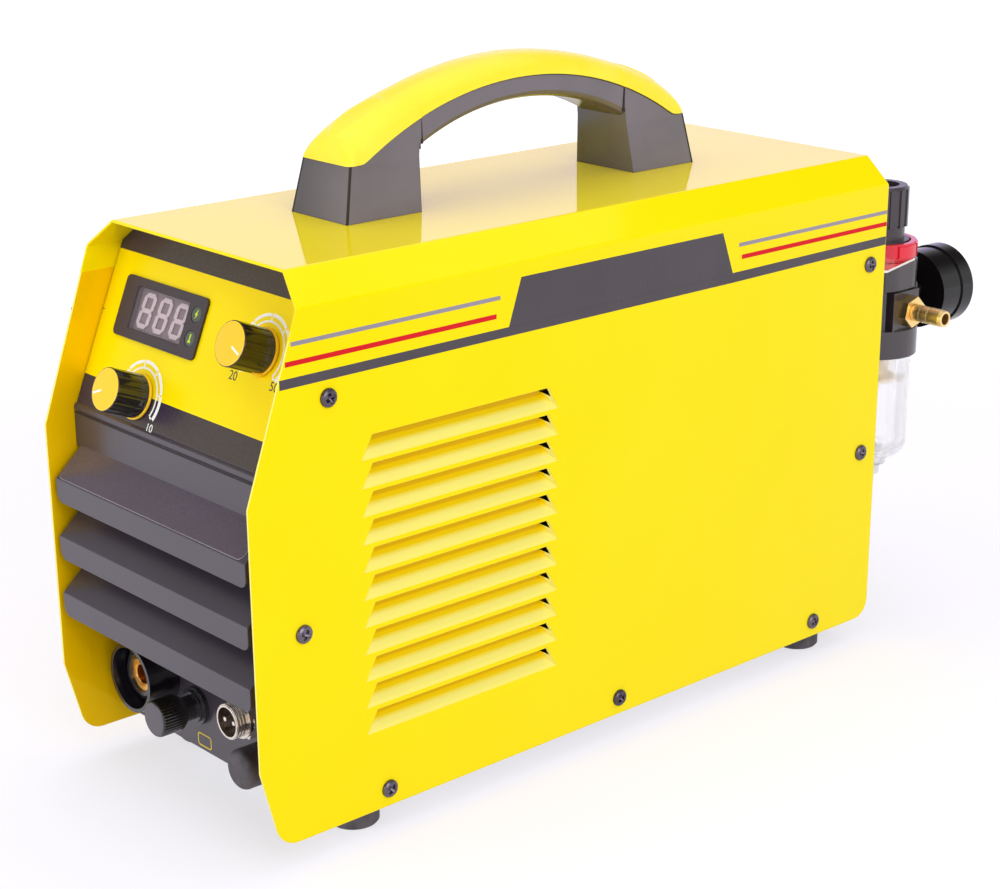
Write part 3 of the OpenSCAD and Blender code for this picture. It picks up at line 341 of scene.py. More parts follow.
def cover_paint():
    """Yellow outside, painted golden bounce light on faces that look inwards, and a painted
    highlight and shade on the louvres, by depth.

    Outside is where sign(x - middle) * normal.x is over -0.02. A louvre's colour goes by its
    depth, CHEEK_X - |x - middle|, from PRESSED_FROM on and below LOUVRE_TOP."""
    material = finish("yellow powder coat", YELLOW, (255, 232, 12), 0.07, spread=0.03,
                      grain=(300, 0.0012), edge=0.5, drift=9, mirror=(1, 0.85, 0.02, 1))
    tree = material.node_tree
    place = axes(tree, here(tree))
    leaning = axes(tree, add(tree, "NewGeometry").outputs["Normal"])
    centred = maths(tree, "SUBTRACT", place["X"], float(MIDDLE[0]))
    depth = maths(tree, "SUBTRACT", CHEEK_X * MM, maths(tree, "ABSOLUTE", centred))
    pressed = maths(tree, "MULTIPLY", maths(tree, "GREATER_THAN", depth, PRESSED_FROM * MM),
                    maths(tree, "LESS_THAN", place["Z"], LOUVRE_TOP * MM))
    outwards = maths(tree, "MULTIPLY", maths(tree, "SIGN", centred), leaning["X"])
    slope = add(tree, "ValToRGB", {"Fac": maths(tree, "DIVIDE", depth, DEEPEST * MM)})
    stops = slope.color_ramp.elements
    while len(stops) < len(LOUVRE_LIGHT_AND_SHADE):
        stops.new(0.5)
    for stop, (deep, colour) in zip(stops, LOUVRE_LIGHT_AND_SHADE):
        stop.position, stop.color = deep / DEEPEST, ink(colour)
    # Faces that look inwards take the painted bounce light, faces outwards the louvre's painted
    # highlight and shade.
    louvre = mix(tree, maths(tree, "GREATER_THAN", outwards, -0.02), ink(BOUNCE_GOLD),
                 slope.outputs["Color"])
    return repaint(material, pressed, louvre)


wear(cover_paint(), "top_cover")
wear(finish("zinc sheet", (196, 198, 202), (172, 175, 182), 0.38, spread=0.2, metal=1.0,
            grain=(1500, 0.01)), "base_tray")
wear(finish("black powder coat", (52, 52, 55), (46, 46, 50), 0.42, grain=(700, 0.02)), "rear_panel")

# %% [markdown]
# ## Moulded front
# The front is one moulding of black ABS with a fine even grain. It looks dark grey rather
# than black under studio light, because the grain scatters light.

# %% Moulded front finishes
wear(finish("black abs", (61, 53, 64), (54, 47, 57), 0.3, spread=0.08, grain=(2600, 0.01), edge=0.6,
            shine=0.8), "front_fascia")
wear(finish("bezel plastic", (48, 34, 42), (42, 30, 38), 0.4, grain=(2200, 0.008)), "display_bezel")

# %% [markdown]
# The label on the leaning panel is a printed film: yellow, with a dark band at the top and
# another at the foot. The height along the panel is a dot product with the uphill
# direction, so two comparisons paint both bands on Object coordinates.

# %% Printed film of the panel
TOP_BAND = 0.0
FOOT_BAND = -57.3


def panel_film():
    """Yellow film that is dark where s, the height along the panel, passes either band's edge.

    s is (point - panel's origin) times uphill, as a dot product."""
    material = finish("panel film", (252, 226, 0), (250, 218, 0), 0.3, spread=0.05,
                      grain=(1500, 0.006), edge=0, mirror=(1, 0.85, 0.03, 1))
    tree = material.node_tree
    shift = maths(tree, "SUBTRACT", here(tree), PANEL_AT.tolist(), kind="VectorMath")
    climb = maths(tree, "DOT_PRODUCT", shift, PANEL_UP.tolist(), kind="VectorMath", output=1)
    bands = maths(tree, "MAXIMUM", maths(tree, "GREATER_THAN", climb, TOP_BAND * MM),
                  maths(tree, "LESS_THAN", climb, FOOT_BAND * MM))
    dark = effect(tree, "colour", Colour=ink((56, 46, 68)), Shade=ink((42, 36, 54)), Scale=900.0)
    return repaint(material, bands, dark)


wear(panel_film(), "control_label")

# %% [markdown]
# ## Handle, feet and sockets
# Handle base and sockets are dark plastic, the handle's cap is a smoother yellow one, and
# feet and dust cap are rubber with a dry, slightly chalky skin. The handle's plastic carries
# a painted shade, darker towards -x and paler towards +x, eased in a straight line along x.

# %% Plastic and rubber finishes
# Painted shade along x, in mm: full at the first place, none at the second.
PAINTED_SHADE_FULL_X = -26.0
PAINTED_SHADE_NONE_X = 8.0


def handle_plastic():
    """Dark plastic with a painted shade that eases in a straight line along x, darker towards -x.
    """
    material = finish("handle plastic", (106, 97, 109), (94, 86, 95), 0.22,
                      grain=(2400, 0.005), edge=0.6, shine=0.9, drift=30)
    tree = material.node_tree
    # Painted shade: the plastic darkens towards -x.
    dark = ramp(tree, axes(tree, here(tree))["X"], PAINTED_SHADE_NONE_X * MM, PAINTED_SHADE_FULL_X * MM)
    return repaint(material, dark, ink((56, 49, 55)))


wear(handle_plastic(), "handle_base")
wear(finish("handle yellow", YELLOW, (255, 233, 0), 0.22, spread=0.06, grain=(500, 0.004),
            edge=0.4), "handle_cap")
wear(finish("socket plastic", (30, 27, 33), (24, 22, 28), 0.16, grain=(1800, 0.003), shine=0.9),
     "earth_socket_collar", "outlet_elbow", "mains_gland", "hf_unit")
wear(finish("stud plastic", (38, 34, 40), (30, 27, 32), 0.12, shine=1.0), "pilot_post")
wear(finish("rubber", (84, 78, 83), (54, 50, 54), 0.62, spread=0.2, grain=(700, 0.05), drift=160),
     "rubber_feet", "torch_cap")

# %% [markdown]
# ## Metal fittings
# Turned brass, nickel, steel and aluminium differ in colour and in how sharp their
# reflections are. A metal's colour is its reflection, so Metallic is 1 and the tint drifts
# only a little.

# %% Metal finishes
wear(finish("turned brass", (254, 226, 164), (242, 204, 126), 0.34, spread=0.12, metal=1.0,
            grain=(3000, 0.003)), "torch_stud", "hose_barb", "gas_inlet")
wear(finish("contact brass", (255, 204, 124), (248, 188, 100), 0.24, metal=1.0,
            grain=(3000, 0.004)), "earth_socket_insert")
wear(finish("contact silver", (248, 240, 230), (230, 218, 204), 0.16, metal=1.0),
     "trigger_socket_pins")
wear(finish("nickel", (240, 232, 222), (222, 212, 200), 0.12, spread=0.06, metal=1.0,
            grain=(3000, 0.002)), "trigger_socket_shell", "filter_bracket", "fan_guard")
wear(finish("bright steel", (190, 190, 194), (168, 168, 174), 0.28, spread=0.12, metal=1.0),
     "handle_screws", "current_shaft", "gas_shaft", "potentiometers", "regulator_spindle")
wear(finish("extruded aluminium", (206, 208, 212), (188, 190, 196), 0.34, metal=1.0), "heatsinks")
wear(finish("cast valve", (120, 120, 124), (96, 96, 102), 0.5, metal=0.8), "solenoid_valve")

# %% [markdown]
# ## Filter regulator
# The regulator hangs behind the cover. Its body is semi-gloss black, its lock ring glossy
# red, and its bowl clear polycarbonate, which shows the pale sintered element inside. The
# drain valve under the bowl is white plastic.

# %% Regulator finishes
wear(finish("regulator black", (62, 54, 58), (48, 42, 46), 0.24, spread=0.08, grain=(1200, 0.004),
            shine=0.8), "regulator_body")
wear(finish("gauge black", (20, 17, 19), (15, 12, 14), 0.14, spread=0.06, grain=(900, 0.002),
            shine=0.36), "gauge_case")
wear(finish("grip black", (70, 64, 70), (60, 55, 60), 0.3), "regulator_knob")
wear(finish("red ring", (236, 10, 46), (206, 4, 34), 0.18, coat=0.3, drift=60), "lock_ring")
wear(finish("dial white", (238, 238, 236), (232, 232, 230), 0.5), "gauge_dial")
wear(finish("clear polycarbonate", (253, 253, 253), (250, 251, 251), 0.03, spread=0.02, glass=1.0,
            ior=1.42, grain=(300, 0.004), edge=0, alpha=0.55), "filter_bowl", "gauge_lens")
wear(finish("sintered element", (255, 244, 222), (254, 234, 204), 0.85, grain=(2400, 0.08)),
     "filter_element")
wear(finish("drain plastic", (240, 240, 242), (226, 226, 230), 0.3), "drain_valve")

# %% [markdown]
# ## Electrics
# Only slots and the fan opening show the inside, but each part still has its own finish.

# %% Electric finishes
wear(finish("fan plastic", (44, 44, 46), (36, 36, 40), 0.42), "fan_frame", "fan_rotor")
wear(finish("breaker case", (214, 214, 208), (206, 206, 200), 0.45), "breaker_body")
wear(finish("lever black", (30, 30, 32), (26, 26, 28), 0.3), "breaker_lever", "gauge_needle")
wear(finish("solder mask", (24, 96, 52), (18, 82, 44), 0.35, drift=80), "control_board",
     "main_board")
wear(finish("copper winding", (176, 98, 52), (150, 78, 40), 0.35, metal=0.4, grain=(600, 0.2)),
     "main_transformer", "output_choke")
wear(finish("capacitor sleeve", (40, 44, 72), (34, 38, 62), 0.3), "bus_capacitors")
wear(finish("socket insulator", (52, 33, 24), (40, 25, 18), 0.2), "trigger_socket_core")
wear(finish("digit face", (124, 110, 116), (112, 98, 104), 0.4), "display_digits")
wear(finish("lamp lens", (58, 68, 52), (46, 56, 44), 0.2, coat=0.4), "indicator_lamps")
wear(finish("tinted window", (180, 166, 172), (172, 158, 164), 0.06, alpha=0.16, edge=0),
     "display_window")

# %% [markdown]
# ## Surfaces from grids
# Every new piece below is a grid of points: rows run along the piece, columns round it.
# Two helpers are enough. One joins the neighbours of a grid with four-sided faces, the
# other makes the mesh, merges the points that meet at poles and seams, turns all faces
# outwards and hangs the piece on the CAD body that carries it.

# %% Grid to piece
MERGE = 0.002
SLIVER = 0.001


def grid_faces(rows, columns, wrap_rows):
    """Quads between neighbours; a point's number is row * columns + column, modulo both."""
    r, c = (v.ravel() for v in np.meshgrid(np.arange(rows if wrap_rows else rows - 1),
                                           np.arange(columns), indexing="ij"))
    r1, c1 = (r + 1) % rows, (c + 1) % columns
    return np.stack([r * columns + c, r * columns + c1, r1 * columns + c1, r1 * columns + c], 1)


def piece(name, grids, material, replaces=(), body="chassis", crease=35, wrap_rows=False):
    """One mesh from grids of (rows, columns, 3) points whose columns close on themselves.

    Rows that don't wrap end in a flat face, so each grid is a closed skin."""
    points, faces, start = [], [], 0
    for grid in grids:
        rows, columns = grid.shape[:2]
        faces += (grid_faces(rows, columns, wrap_rows) + start).tolist()
        if not wrap_rows:
            ring = np.arange(columns) + start
            faces += [ring[::-1].tolist(), (ring + (rows - 1) * columns).tolist()]
        points.append(grid.reshape(-1, 3))
        start += rows * columns
    mesh = bpy.data.meshes.new(name)
    mesh.from_pydata(np.concatenate(points).tolist(), [], faces)
    work = bmesh.new()
    work.from_mesh(mesh)
    bmesh.ops.remove_doubles(work, verts=work.verts, dist=MERGE * MM)
    bmesh.ops.dissolve_degenerate(work, edges=work.edges, dist=SLIVER * MM)
    bmesh.ops.recalc_face_normals(work, faces=work.faces)
    work.to_mesh(mesh)
    work.free()
    mesh.shade_smooth()
    mesh.set_sharp_from_angle(angle=math.radians(crease))
    mesh.materials.append(material)
    made = put(name, mesh)
    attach(made, body)
    if replaces:
        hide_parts(*replaces)
    print(name, len(mesh.polygons), "faces on", body)


def once_round(count):
    """Equal angles once round, the first at 0."""
    return np.linspace(0, 2 * np.pi, count, endpoint=False)


def revolve(profile, columns=96):
    """Turns (radius, height) points round z: (r cos t, r sin t, h), one row for each point."""
    radius, height = np.asarray(profile, float).T
    turn = once_round(columns)
    x, y = radius[:, None] * np.cos(turn), radius[:, None] * np.sin(turn)
    return np.stack([x, y, np.broadcast_to(height[:, None], x.shape)], -1)


def swell(grid, profile, change):
    """Moves a revolve's skin outwards: x and y times (r + change) / r."""
    radius = np.maximum(np.array(profile)[:, 0], 1e-6)[:, None]
    grid[..., :2] *= ((radius + change) / radius)[..., None]
    return grid


def arc(centre, radius, start, end, count=6):
    """Points (c + r cos a, c + r sin a) of a round corner, angles in degrees."""
    a = np.radians(np.linspace(start, end, count))
    return [(centre[0] + radius * u, centre[1] + radius * v) for u, v in zip(np.cos(a), np.sin(a))]


def slab(lower, upper, low=0.0, high=0.1):
    """A flat bar between two edges of (n, 2) points, from level low to level high.

    Each row is a four-point ring: lower and upper edge at low, then upper and lower at high."""
    lower, upper = np.asarray(lower, float), np.asarray(upper, float)
    ring = [np.column_stack([edge, np.full(len(edge), level)])
            for edge, level in ((lower, low), (upper, low), (upper, high), (lower, high))]
    return np.stack(ring, 1)


def panel_grid(grid, centre=(0, 0), turn=0.0):
    """Carries local millimetres (x, y, out) to the leaning panel, turned clockwise by degrees."""
    a = math.radians(turn)
    x = grid[..., 0] * math.cos(a) + grid[..., 1] * math.sin(a)
    y = grid[..., 1] * math.cos(a) - grid[..., 0] * math.sin(a)
    return on_panel(centre[0] + x, centre[1] + y, grid[..., 2])


SOCKET_Y = -352.0


def socket_grid(grid, centre):
    """Carries local millimetres (x, up, out) to the upright connector panel."""
    x, up, out = np.moveaxis(grid, -1, 0)
    return at(np.stack([centre[0] + x, SOCKET_Y - out, centre[1] + up], -1))


# %% [markdown]
# ## Knobs
# A control knob is a glossy black barrel with narrow flutes, a yellow disc let into its top
# and a yellow ring with a pointed fin at its foot. The barrel is a revolve whose radius dips
# at each flute. A boolean with many small cylinders would also do it, but the formula gives
# clean rows of faces and soft groove edges.

# %% Knob barrel
KNOB_R = 9.6
KNOB_H = 18.0
CAP_R = 9.3
RECESS_R = 7.4
RIM = 0.4
FLUTES = 16
FLUTE_WIDTH = 1.5
FLUTE_DEPTH = 0.5
FLUTE_FROM = 3.0


def flute(turn):
    """1 in the middle of a flute: 1 - (arc distance / half width) ** 2, and 0 outside it."""
    step = 2 * np.pi / FLUTES
    distance = np.abs((turn + step / 2) % step - step / 2) * KNOB_R
    return np.clip(1 - (distance / (FLUTE_WIDTH / 2)) ** 2, 0, 1)


def knob_barrel():
    """Revolve of the barrel's profile, with the flutes cut where it has its full radius.

    The radius is r - FLUTE_DEPTH * cut * flute(angle), and cut fades out at both ends."""
    columns = FLUTES * 20
    profile = [(0, 5.4), (RECESS_R, 5.4), (RECESS_R, 1.0), (9.3, 1.0),
               *arc((9.1, 2.0), 0.5, -60, 0, 4), (KNOB_R, FLUTE_FROM), (KNOB_R, 3.6),
               (KNOB_R, 4.4), (KNOB_R, KNOB_H - 1.2), (KNOB_R, KNOB_H - 0.8),
               *arc((KNOB_R - RIM, KNOB_H - RIM), RIM, 0, 90, 5), (CAP_R, KNOB_H - 0.05),
               (CAP_R, KNOB_H - 1), (0, KNOB_H - 1)]
    radius, height = np.array(profile).T
    cut = (np.clip((height - FLUTE_FROM) / 1.4, 0, 1) * np.clip((KNOB_H - height) / 0.5, 0, 1)
           * (radius > CAP_R + 0.1))
    dip = FLUTE_DEPTH * cut[:, None] * flute(once_round(columns))
    return swell(revolve(profile, columns), profile, -dip)


def disc(radius, low, high, dome=0.15, round_edge=0.3):
    """A turned disc with a rounded rim, whose top rises by dome * (1 - (r / radius) ** 2)."""
    rise = np.linspace(1, 0, 8)
    top = [(radius - round_edge) * rise, high + dome * (1 - rise ** 2)]
    rim = arc((radius - round_edge, high - round_edge), round_edge, 0, 90, 5)
    return revolve([(0, low), (radius, low), *rim[:-1], *zip(*top)])


# %% Knob ring, fin and pieces
RING_LOW = 0.95
RING_TOP = 2.2
NIB = 45
NIB_HALF = 2.1
NIB_TALL = 4.0
NIB_IN = 9.5
NIB_OUT = 10.6
CURRENT_TURN = 113
GAS_TURN = -113


def foot_ring():
    """The ring under the barrel: a revolve of a rounded band."""
    return revolve([(9.4, RING_LOW), *arc((9.9, RING_LOW + 0.3), 0.3, -90, 0, 4),
                    *arc((9.9, RING_TOP - 0.3), 0.3, 0, 90, 4), (9.4, RING_TOP)], 180)


def foot_nib():
    """A pointed fin on the ring, bent round the barrel at angle NIB.

    Its height is NIB_TALL * (1 - |across| / NIB_HALF), and it leans in by a fifth of that."""
    across = np.linspace(-NIB_HALF, NIB_HALF, 15)
    tall = NIB_TALL * (1 - np.abs(across) / NIB_HALF) + 0.1
    fin = slab(np.column_stack([across, np.zeros(15)]), np.column_stack([across, tall]),
               NIB_IN, NIB_OUT)
    turn = math.radians(NIB) + fin[..., 0] / 10
    reach = fin[..., 2] - 0.2 * fin[..., 1]
    return np.stack([reach * np.cos(turn), reach * np.sin(turn), RING_TOP - 0.3 + fin[..., 1]], -1)


BLACK_GLOSS = finish("knob gloss", (30, 28, 22), (22, 21, 18), 0.14, spread=0.05,
                     grain=(700, 0.003), edge=0, coat=0.4)
CAP_YELLOW = finish("knob disc yellow", (255, 205, 24), (252, 196, 16), 0.3,
                    grain=(900, 0.004), edge=0)
WHITE_MARK = finish("white print", (250, 250, 244), (240, 240, 234), 0.45, edge=0)
KNOB_DISC = disc(CAP_R - 0.05, KNOB_H - 1, KNOB_H + 0.1)
KNOB_MARK = slab([(-0.45, 2.4), (-0.45, 8.2)], [(0.45, 2.4), (0.45, 8.2)],
                 KNOB_H + 0.1, KNOB_H + 0.32)
for name, place, turn in (("current", CURRENT_AT, CURRENT_TURN), ("gas", GAS_AT, GAS_TURN)):
    body, knob = name + "_dial", name + "_knob"
    piece(knob + "_barrel", [panel_grid(knob_barrel(), place, turn)], BLACK_GLOSS,
          [knob], body)
    piece(knob + "_disc", [panel_grid(KNOB_DISC, place, turn)], CAP_YELLOW,
          [knob + "_cap"], body)
    piece(knob + "_ring", [panel_grid(foot_ring(), place, turn)], CAP_YELLOW,
          body=body, wrap_rows=True)
    piece(knob + "_nib", [panel_grid(foot_nib(), place, turn)], CAP_YELLOW,
          body=body)
    piece(knob + "_mark", [panel_grid(KNOB_MARK, place, turn)], WHITE_MARK, body=body)

# %% [markdown]
# ## Printed marks of the panel
# Round each knob runs a scale: a thin inner arc and a broken outer one, with short ticks
# between them. All are slabs between two concentric edges, a twentieth of a millimetre
# thick, as ink on film is.

# %% Scales
FILM_TOP = 0.4
INK_TOP = 0.47
INNER_ARC = (12.2, 13.1)
TICK = (13.0, 14.5)
OUTER_ARC = (14.7, 15.8)
OUTER_GROWS = 0.8
STEPS = 6


def ring_part(inner, outer, start, end):
    """A slab between two radii, from start to end degrees clockwise from uphill."""
    a = np.radians(np.linspace(start, end, max(3, int(abs(end - start) / 3))))
    way = np.column_stack([np.sin(a), np.cos(a)])
    return slab(way * inner, way * outer, FILM_TOP - 0.1, INK_TOP)


def scale(name, place, start, end):
    """Inner arc, outer arc in STEPS pieces, each a little broader than the last, and ticks."""
    stops = np.linspace(start, end, STEPS + 1)
    parts = [ring_part(*INNER_ARC, start, end)]
    parts += [ring_part(OUTER_ARC[0], OUTER_ARC[1] + OUTER_GROWS * i / STEPS, a + 1.4, b - 1.4)
              for i, (a, b) in enumerate(zip(stops[:-1], stops[1:]))]
    parts += [ring_part(*TICK, a - 1.8, a + 1.8) for a in stops]
    piece(name, [panel_grid(part, place) for part in parts], WHITE_MARK)


scale("current_scale", CURRENT_AT, -135, 130)
scale("gas_scale", GAS_AT, -135, 119)

# %% [markdown]
# The plain numbers of the scales are text that becomes a thin mesh, and only then goes to
# its place, so that its object stays at the origin.


# %% Numbers
def number(name, text, height, place, material):
    """Flat text, centred, scaled to a cap height in millimetres and laid on the panel."""
    curve = bpy.data.curves.new(name, "FONT")
    curve.body = text
    curve.align_x = curve.align_y = "CENTER"
    curve.extrude = 0.02
    curve.resolution_u = 6
    writing = bpy.data.objects.new(name, curve)
    mesh = bpy.data.meshes.new_from_object(writing)
    bpy.data.objects.remove(writing)
    flat = np.zeros(len(mesh.vertices) * 3)
    mesh.vertices.foreach_get("co", flat)
    flat = flat.reshape(-1, 3)
    x, y = (flat[:, :2] * height / np.ptp(flat[:, 1])).T
    level = np.where(flat[:, 2] > 0, INK_TOP, FILM_TOP - 0.1)
    mesh.vertices.foreach_set("co", on_panel(place[0] + x, place[1] + y, level).ravel())
    mesh.materials.append(material)
    made = put(name, mesh)
    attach(made, "chassis")
    print(name, len(mesh.polygons), "faces")


DARK_MARK = finish("dark print", (60, 54, 50), (52, 48, 44), 0.45, edge=0)
for text, height, place, material, slot in (
        ("20", 3.9, (28.1, -36.5), DARK_MARK, "knob_black"),
        ("50", 3.9, (55.5, -35.5), DARK_MARK, "knob_black"),
        ("10", 3.5, (-17.4, -69.6), WHITE_MARK, "dial_white")):
    number("mark_" + text, text, height, place, material)

# %% [markdown]
# ## Display
# The unlit display has three seven-bar digits on a grey face behind a flat window. A bar is
# a slab that tapers to a point at both ends. Seven bars make a digit, and a small slant
# gives the usual lean.

# %% Digits
WINDOW_AT = (-31.5, -22.8)
DIGIT_TOP = -0.6
DIGIT_W = 6.9
DIGIT_H = 13.8
BAR = 2.1
TIP_GAP = 0.12
TIP_SHARE = 0.04
DIGIT_STEP = 12.3
LEAN = 0.13


def bar(start, end):
    """A tapered bar: half width TIP_SHARE at its tips, and 1 from half a bar's width inwards."""
    start, end = np.array(start, float), np.array(end, float)
    way = (end - start) / np.linalg.norm(end - start)
    side = np.array([-way[1], way[0]]) * BAR / 2
    tip = way * BAR / 2
    middle = np.array([start + TIP_GAP * way, start + tip, end - tip, end - TIP_GAP * way])
    half = np.array([[TIP_SHARE], [1], [1], [TIP_SHARE]]) * side
    return slab(middle - half, middle + half, DIGIT_TOP - 0.3, DIGIT_TOP)


def digit(offset):
    """Seven bars round two squares, leaned by x + LEAN * y."""
    x, y = DIGIT_W / 2, DIGIT_H / 2
    level = [((-x, h), (x, h)) for h in (y, 0, -y)]
    upright = [((side, low), (side, low + y)) for low in (0, -y) for side in (-x, x)]
    bars = [bar(*ends) for ends in level + upright]
    for part in bars:
        part[..., 0] += LEAN * part[..., 1] + offset
    return bars


piece("display_bars", [panel_grid(part, WINDOW_AT) for i in (-1, 0, 1)
                       for part in digit(i * DIGIT_STEP)],
      finish("unlit digit", (232, 212, 220), (216, 198, 206), 0.5, edge=0))

# %% [markdown]
# Two round lamps beside the window carry small lime symbols: a bolt and a thermometer. Each
# is a slab between its left and its right edge.

# %% Lamp symbols
LAMP_TOP = 1.3
SYMBOL_TOP = 1.48
LIME = finish("lime symbol", (196, 226, 20), (176, 210, 16), 0.4, edge=0)
bolt_left = [(0.5, 2.0), (-1.1, -0.3), (-0.2, -0.3), (-0.6, -2.0)]
bolt_right = [(0.9, 2.0), (0.3, 0.4), (1.2, 0.4), (-0.5, -2.0)]
gauge_left = [(-0.45, 2.0), (-0.45, -0.6), (-1.0, -1.0), (-0.9, -1.8)]
gauge_right = [(0.45, 2.0), (0.45, -0.6), (1.0, -1.0), (0.9, -1.8)]
for name, lamp, left, right in (("bolt", (-5.8, -17.4), bolt_left, bolt_right),
                                ("thermometer", (-5.8, -27.9), gauge_left, gauge_right)):
    piece("lamp_" + name, [panel_grid(slab(left, right, LAMP_TOP, SYMBOL_TOP), lamp)], LIME)

# %% [markdown]
# ## Handle cap
# The cap is one surface over the arch. Two curves of y shape it from the side: a lower one,
# the parting line, and an upper one, the crown, which falls round each end. Between them
# every section is the same part of an ellipse, scaled to the height and width there. The
# smooth minimum of crown and end curve, (a ** -p + b ** -p) ** (-1 / p), joins them without
# an edge.

# %% Curves of the handle cap
HANDLE_X = -3.5
HANDLE_Y = -183.0
ROOF_Z = 251.7
SHOULDER = 24.3
CROWN_TOP = 62.1
CROWN_R = 206
CROWN_BACK = 1.0
PARTING_TOP = 52.5
PARTING_R = 172.8


def arch(y, top, radius):
    """The upper edge of a circle: top - radius + sqrt(radius ** 2 - y ** 2)."""
    return top - radius + np.sqrt(radius ** 2 - y ** 2)


def parting_height(y):
    """Smooth maximum of shoulder and parting arch: half of a + b + sqrt((a - b) ** 2 + 1)."""
    rise = arch(y, PARTING_TOP, PARTING_R)
    return (SHOULDER + rise + np.sqrt((rise - SHOULDER) ** 2 + 1.0)) / 2


def soft_inside(distance, limit, blur=0.16):
    """1 well inside limit, 0 outside, with a soft edge blur wide."""
    return np.clip((limit - distance) / blur + 0.5, 0, 1)


# %% Handle cap
CAP_REACH = 103.0
CAP_HALF = 17.7
GRIP_REACH = 62.2
END_RISE, END_POWER = 3.9, 0.59
JOIN = 7
CORNER = 3.6
GRIP_POWER, END_BOXIER, BOXY_OVER = 2.42, 1.4, 44
FOOT_SINE = 0.289
WAIST = 0.5
PAD_AT, PAD_LONG, PAD_WIDE, PAD_PROUD = 85, 13.5, 8.6, 0.8


def cap_surface(rows=420, columns=72):
    """Rows from front to rear; a section is part of |x / w| ** p + |z / h| ** p = 1, flat below.

    The end curve is END_RISE * inset ** END_POWER. The power p grows from GRIP_POWER by
    END_BOXIER towards the ends. Half width: CAP_HALF less the corner of a rounded plan, and
    WAIST less between the legs. An oval pad near each end stands PAD_PROUD higher."""
    even = np.linspace(-1, 1, rows)
    y = CAP_REACH * (np.sin(even * np.pi / 2) + even) / 2
    inset = np.clip(CAP_REACH - np.abs(y), 1e-3, None)
    low = parting_height(y) - 0.1
    end = END_RISE * inset ** END_POWER
    crown = arch(y - CROWN_BACK, CROWN_TOP, CROWN_R) - SHOULDER
    height = ((crown ** -JOIN + end ** -JOIN) ** (-1 / JOIN) + SHOULDER - low)[:, None]
    corner = np.clip(CORNER - inset, 0, CORNER)
    width = (CAP_HALF - CORNER + np.sqrt(CORNER ** 2 - corner ** 2))[:, None]
    power = (GRIP_POWER + END_BOXIER * np.clip(1 - inset / BOXY_OVER, 0, 1))[:, None]
    start = math.asin(FOOT_SINE)
    a = np.linspace(start, math.pi - start, columns - 2)
    foot = math.sin(start) ** (2 / power)
    x = width * np.sign(np.cos(a)) * np.abs(np.cos(a)) ** (2 / power)
    up = height * (np.sin(a) ** (2 / power) - foot) / (1 - foot)
    narrow = np.clip((GRIP_REACH - np.abs(y)) / 0.5, 0, 1)[:, None] * (1 - np.sin(a)) ** 0.8
    x = x - WAIST * np.sign(x) * narrow
    oval = np.hypot((np.abs(y)[:, None] - PAD_AT) / PAD_LONG, x / PAD_WIDE)
    up = up + PAD_PROUD * soft_inside(oval, 1, 0.12)
    zero = np.zeros((rows, 1))
    x = np.hstack([x, x[:, -1:] * 0.9, x[:, :1] * 0.9])
    z = ROOF_Z + low[:, None] + np.hstack([up, zero, zero])
    return np.stack([HANDLE_X + x, np.broadcast_to(HANDLE_Y + y[:, None], x.shape), z], -1)


piece("handle_cap_shell", [at(cap_surface())],
      finish("handle cap yellow", (255, 230, 34), (255, 236, 64), 0.28, spread=0.08,
             grain=(420, 0.003), edge=0, drift=30, mirror=(1, 0.95, 0.7, 1)),
      ["handle_cap"], crease=50)

# %% [markdown]
# A dark gap shows under the cap, down the outer corners of both legs and where the grip meets
# them, because the handle is moulded in halves. The shade in each gap is painted: a thin
# closed dark bar along its line.

# %% Gaps of the handle
LEG_REACH = 101.6
LEG_SPLAY = 4.8
GRIP_LOW = 29.2
GRIP_TOP = 40.4
# Painted shadow: a dark finish for bars laid where gaps and grooves lie in shade.
PAINTED_GAP_SHADOW = finish("gap shadow", (30, 26, 20), (30, 26, 20), 0.7, edge=0)


def gap_bar(path, across, up):
    """A bar along path: each row is path +- across/2 +- up/2."""
    path, across, up = (np.asarray(v, float) for v in (path, across, up))
    return np.stack([path + (side * across + level * up) / 2
                     for side, level in ((-1, -1), (1, -1), (1, 1), (-1, 1))], 1)


def parting_gap(side):
    """The bar under the cap on one side, WAIST in between the legs."""
    y = np.linspace(-LEG_REACH + 3.5, LEG_REACH - 3.5, 240)
    x = side * (16.25 - WAIST * (np.abs(y) < GRIP_REACH))
    path = np.stack([HANDLE_X + x, HANDLE_Y + y, ROOF_Z + parting_height(y) - 0.3], -1)
    return gap_bar(path, (0.7, 0, 0), (0, 0, 0.55))


def corner_gap(side, end):
    """The bar down a leg's outer corner, from the shoulder to the roof; feet are wider by 3 mm."""
    z = np.linspace(0, 24.0, 30)
    x = side * (16.5 - 0.4 + 3.0 * np.clip(1 - z / 24.0, 0, 1))
    y = end * (LEG_REACH - 0.4 + LEG_SPLAY * (1 - z / SHOULDER))
    path = np.stack([HANDLE_X + x, HANDLE_Y + y, ROOF_Z + z], -1)
    return gap_bar(path, (0.9, 0, 0), (0, 0.9, 0))


def grip_gap(side, end):
    """The wedge where the grip meets a leg: 1.1 mm wide at the grip's foot, 0.3 mm at its top."""
    wide = np.linspace(1.1, 0.3, 12)
    path = np.column_stack([np.full(12, HANDLE_X + side * 16.15),
                            HANDLE_Y + end * (GRIP_REACH - wide / 2),
                            ROOF_Z + np.linspace(GRIP_LOW, GRIP_TOP, 12)])
    return gap_bar(path, np.outer(wide, (0, 1, 0)), (0.5, 0, 0))


gaps = [gap for side in (-1, 1) for gap in
        (parting_gap(side), *(shape(side, end) for shape in (corner_gap, grip_gap)
                              for end in (-1, 1)))]
piece("handle_gap_shadows", [at(gap) for gap in gaps], PAINTED_GAP_SHADOW)

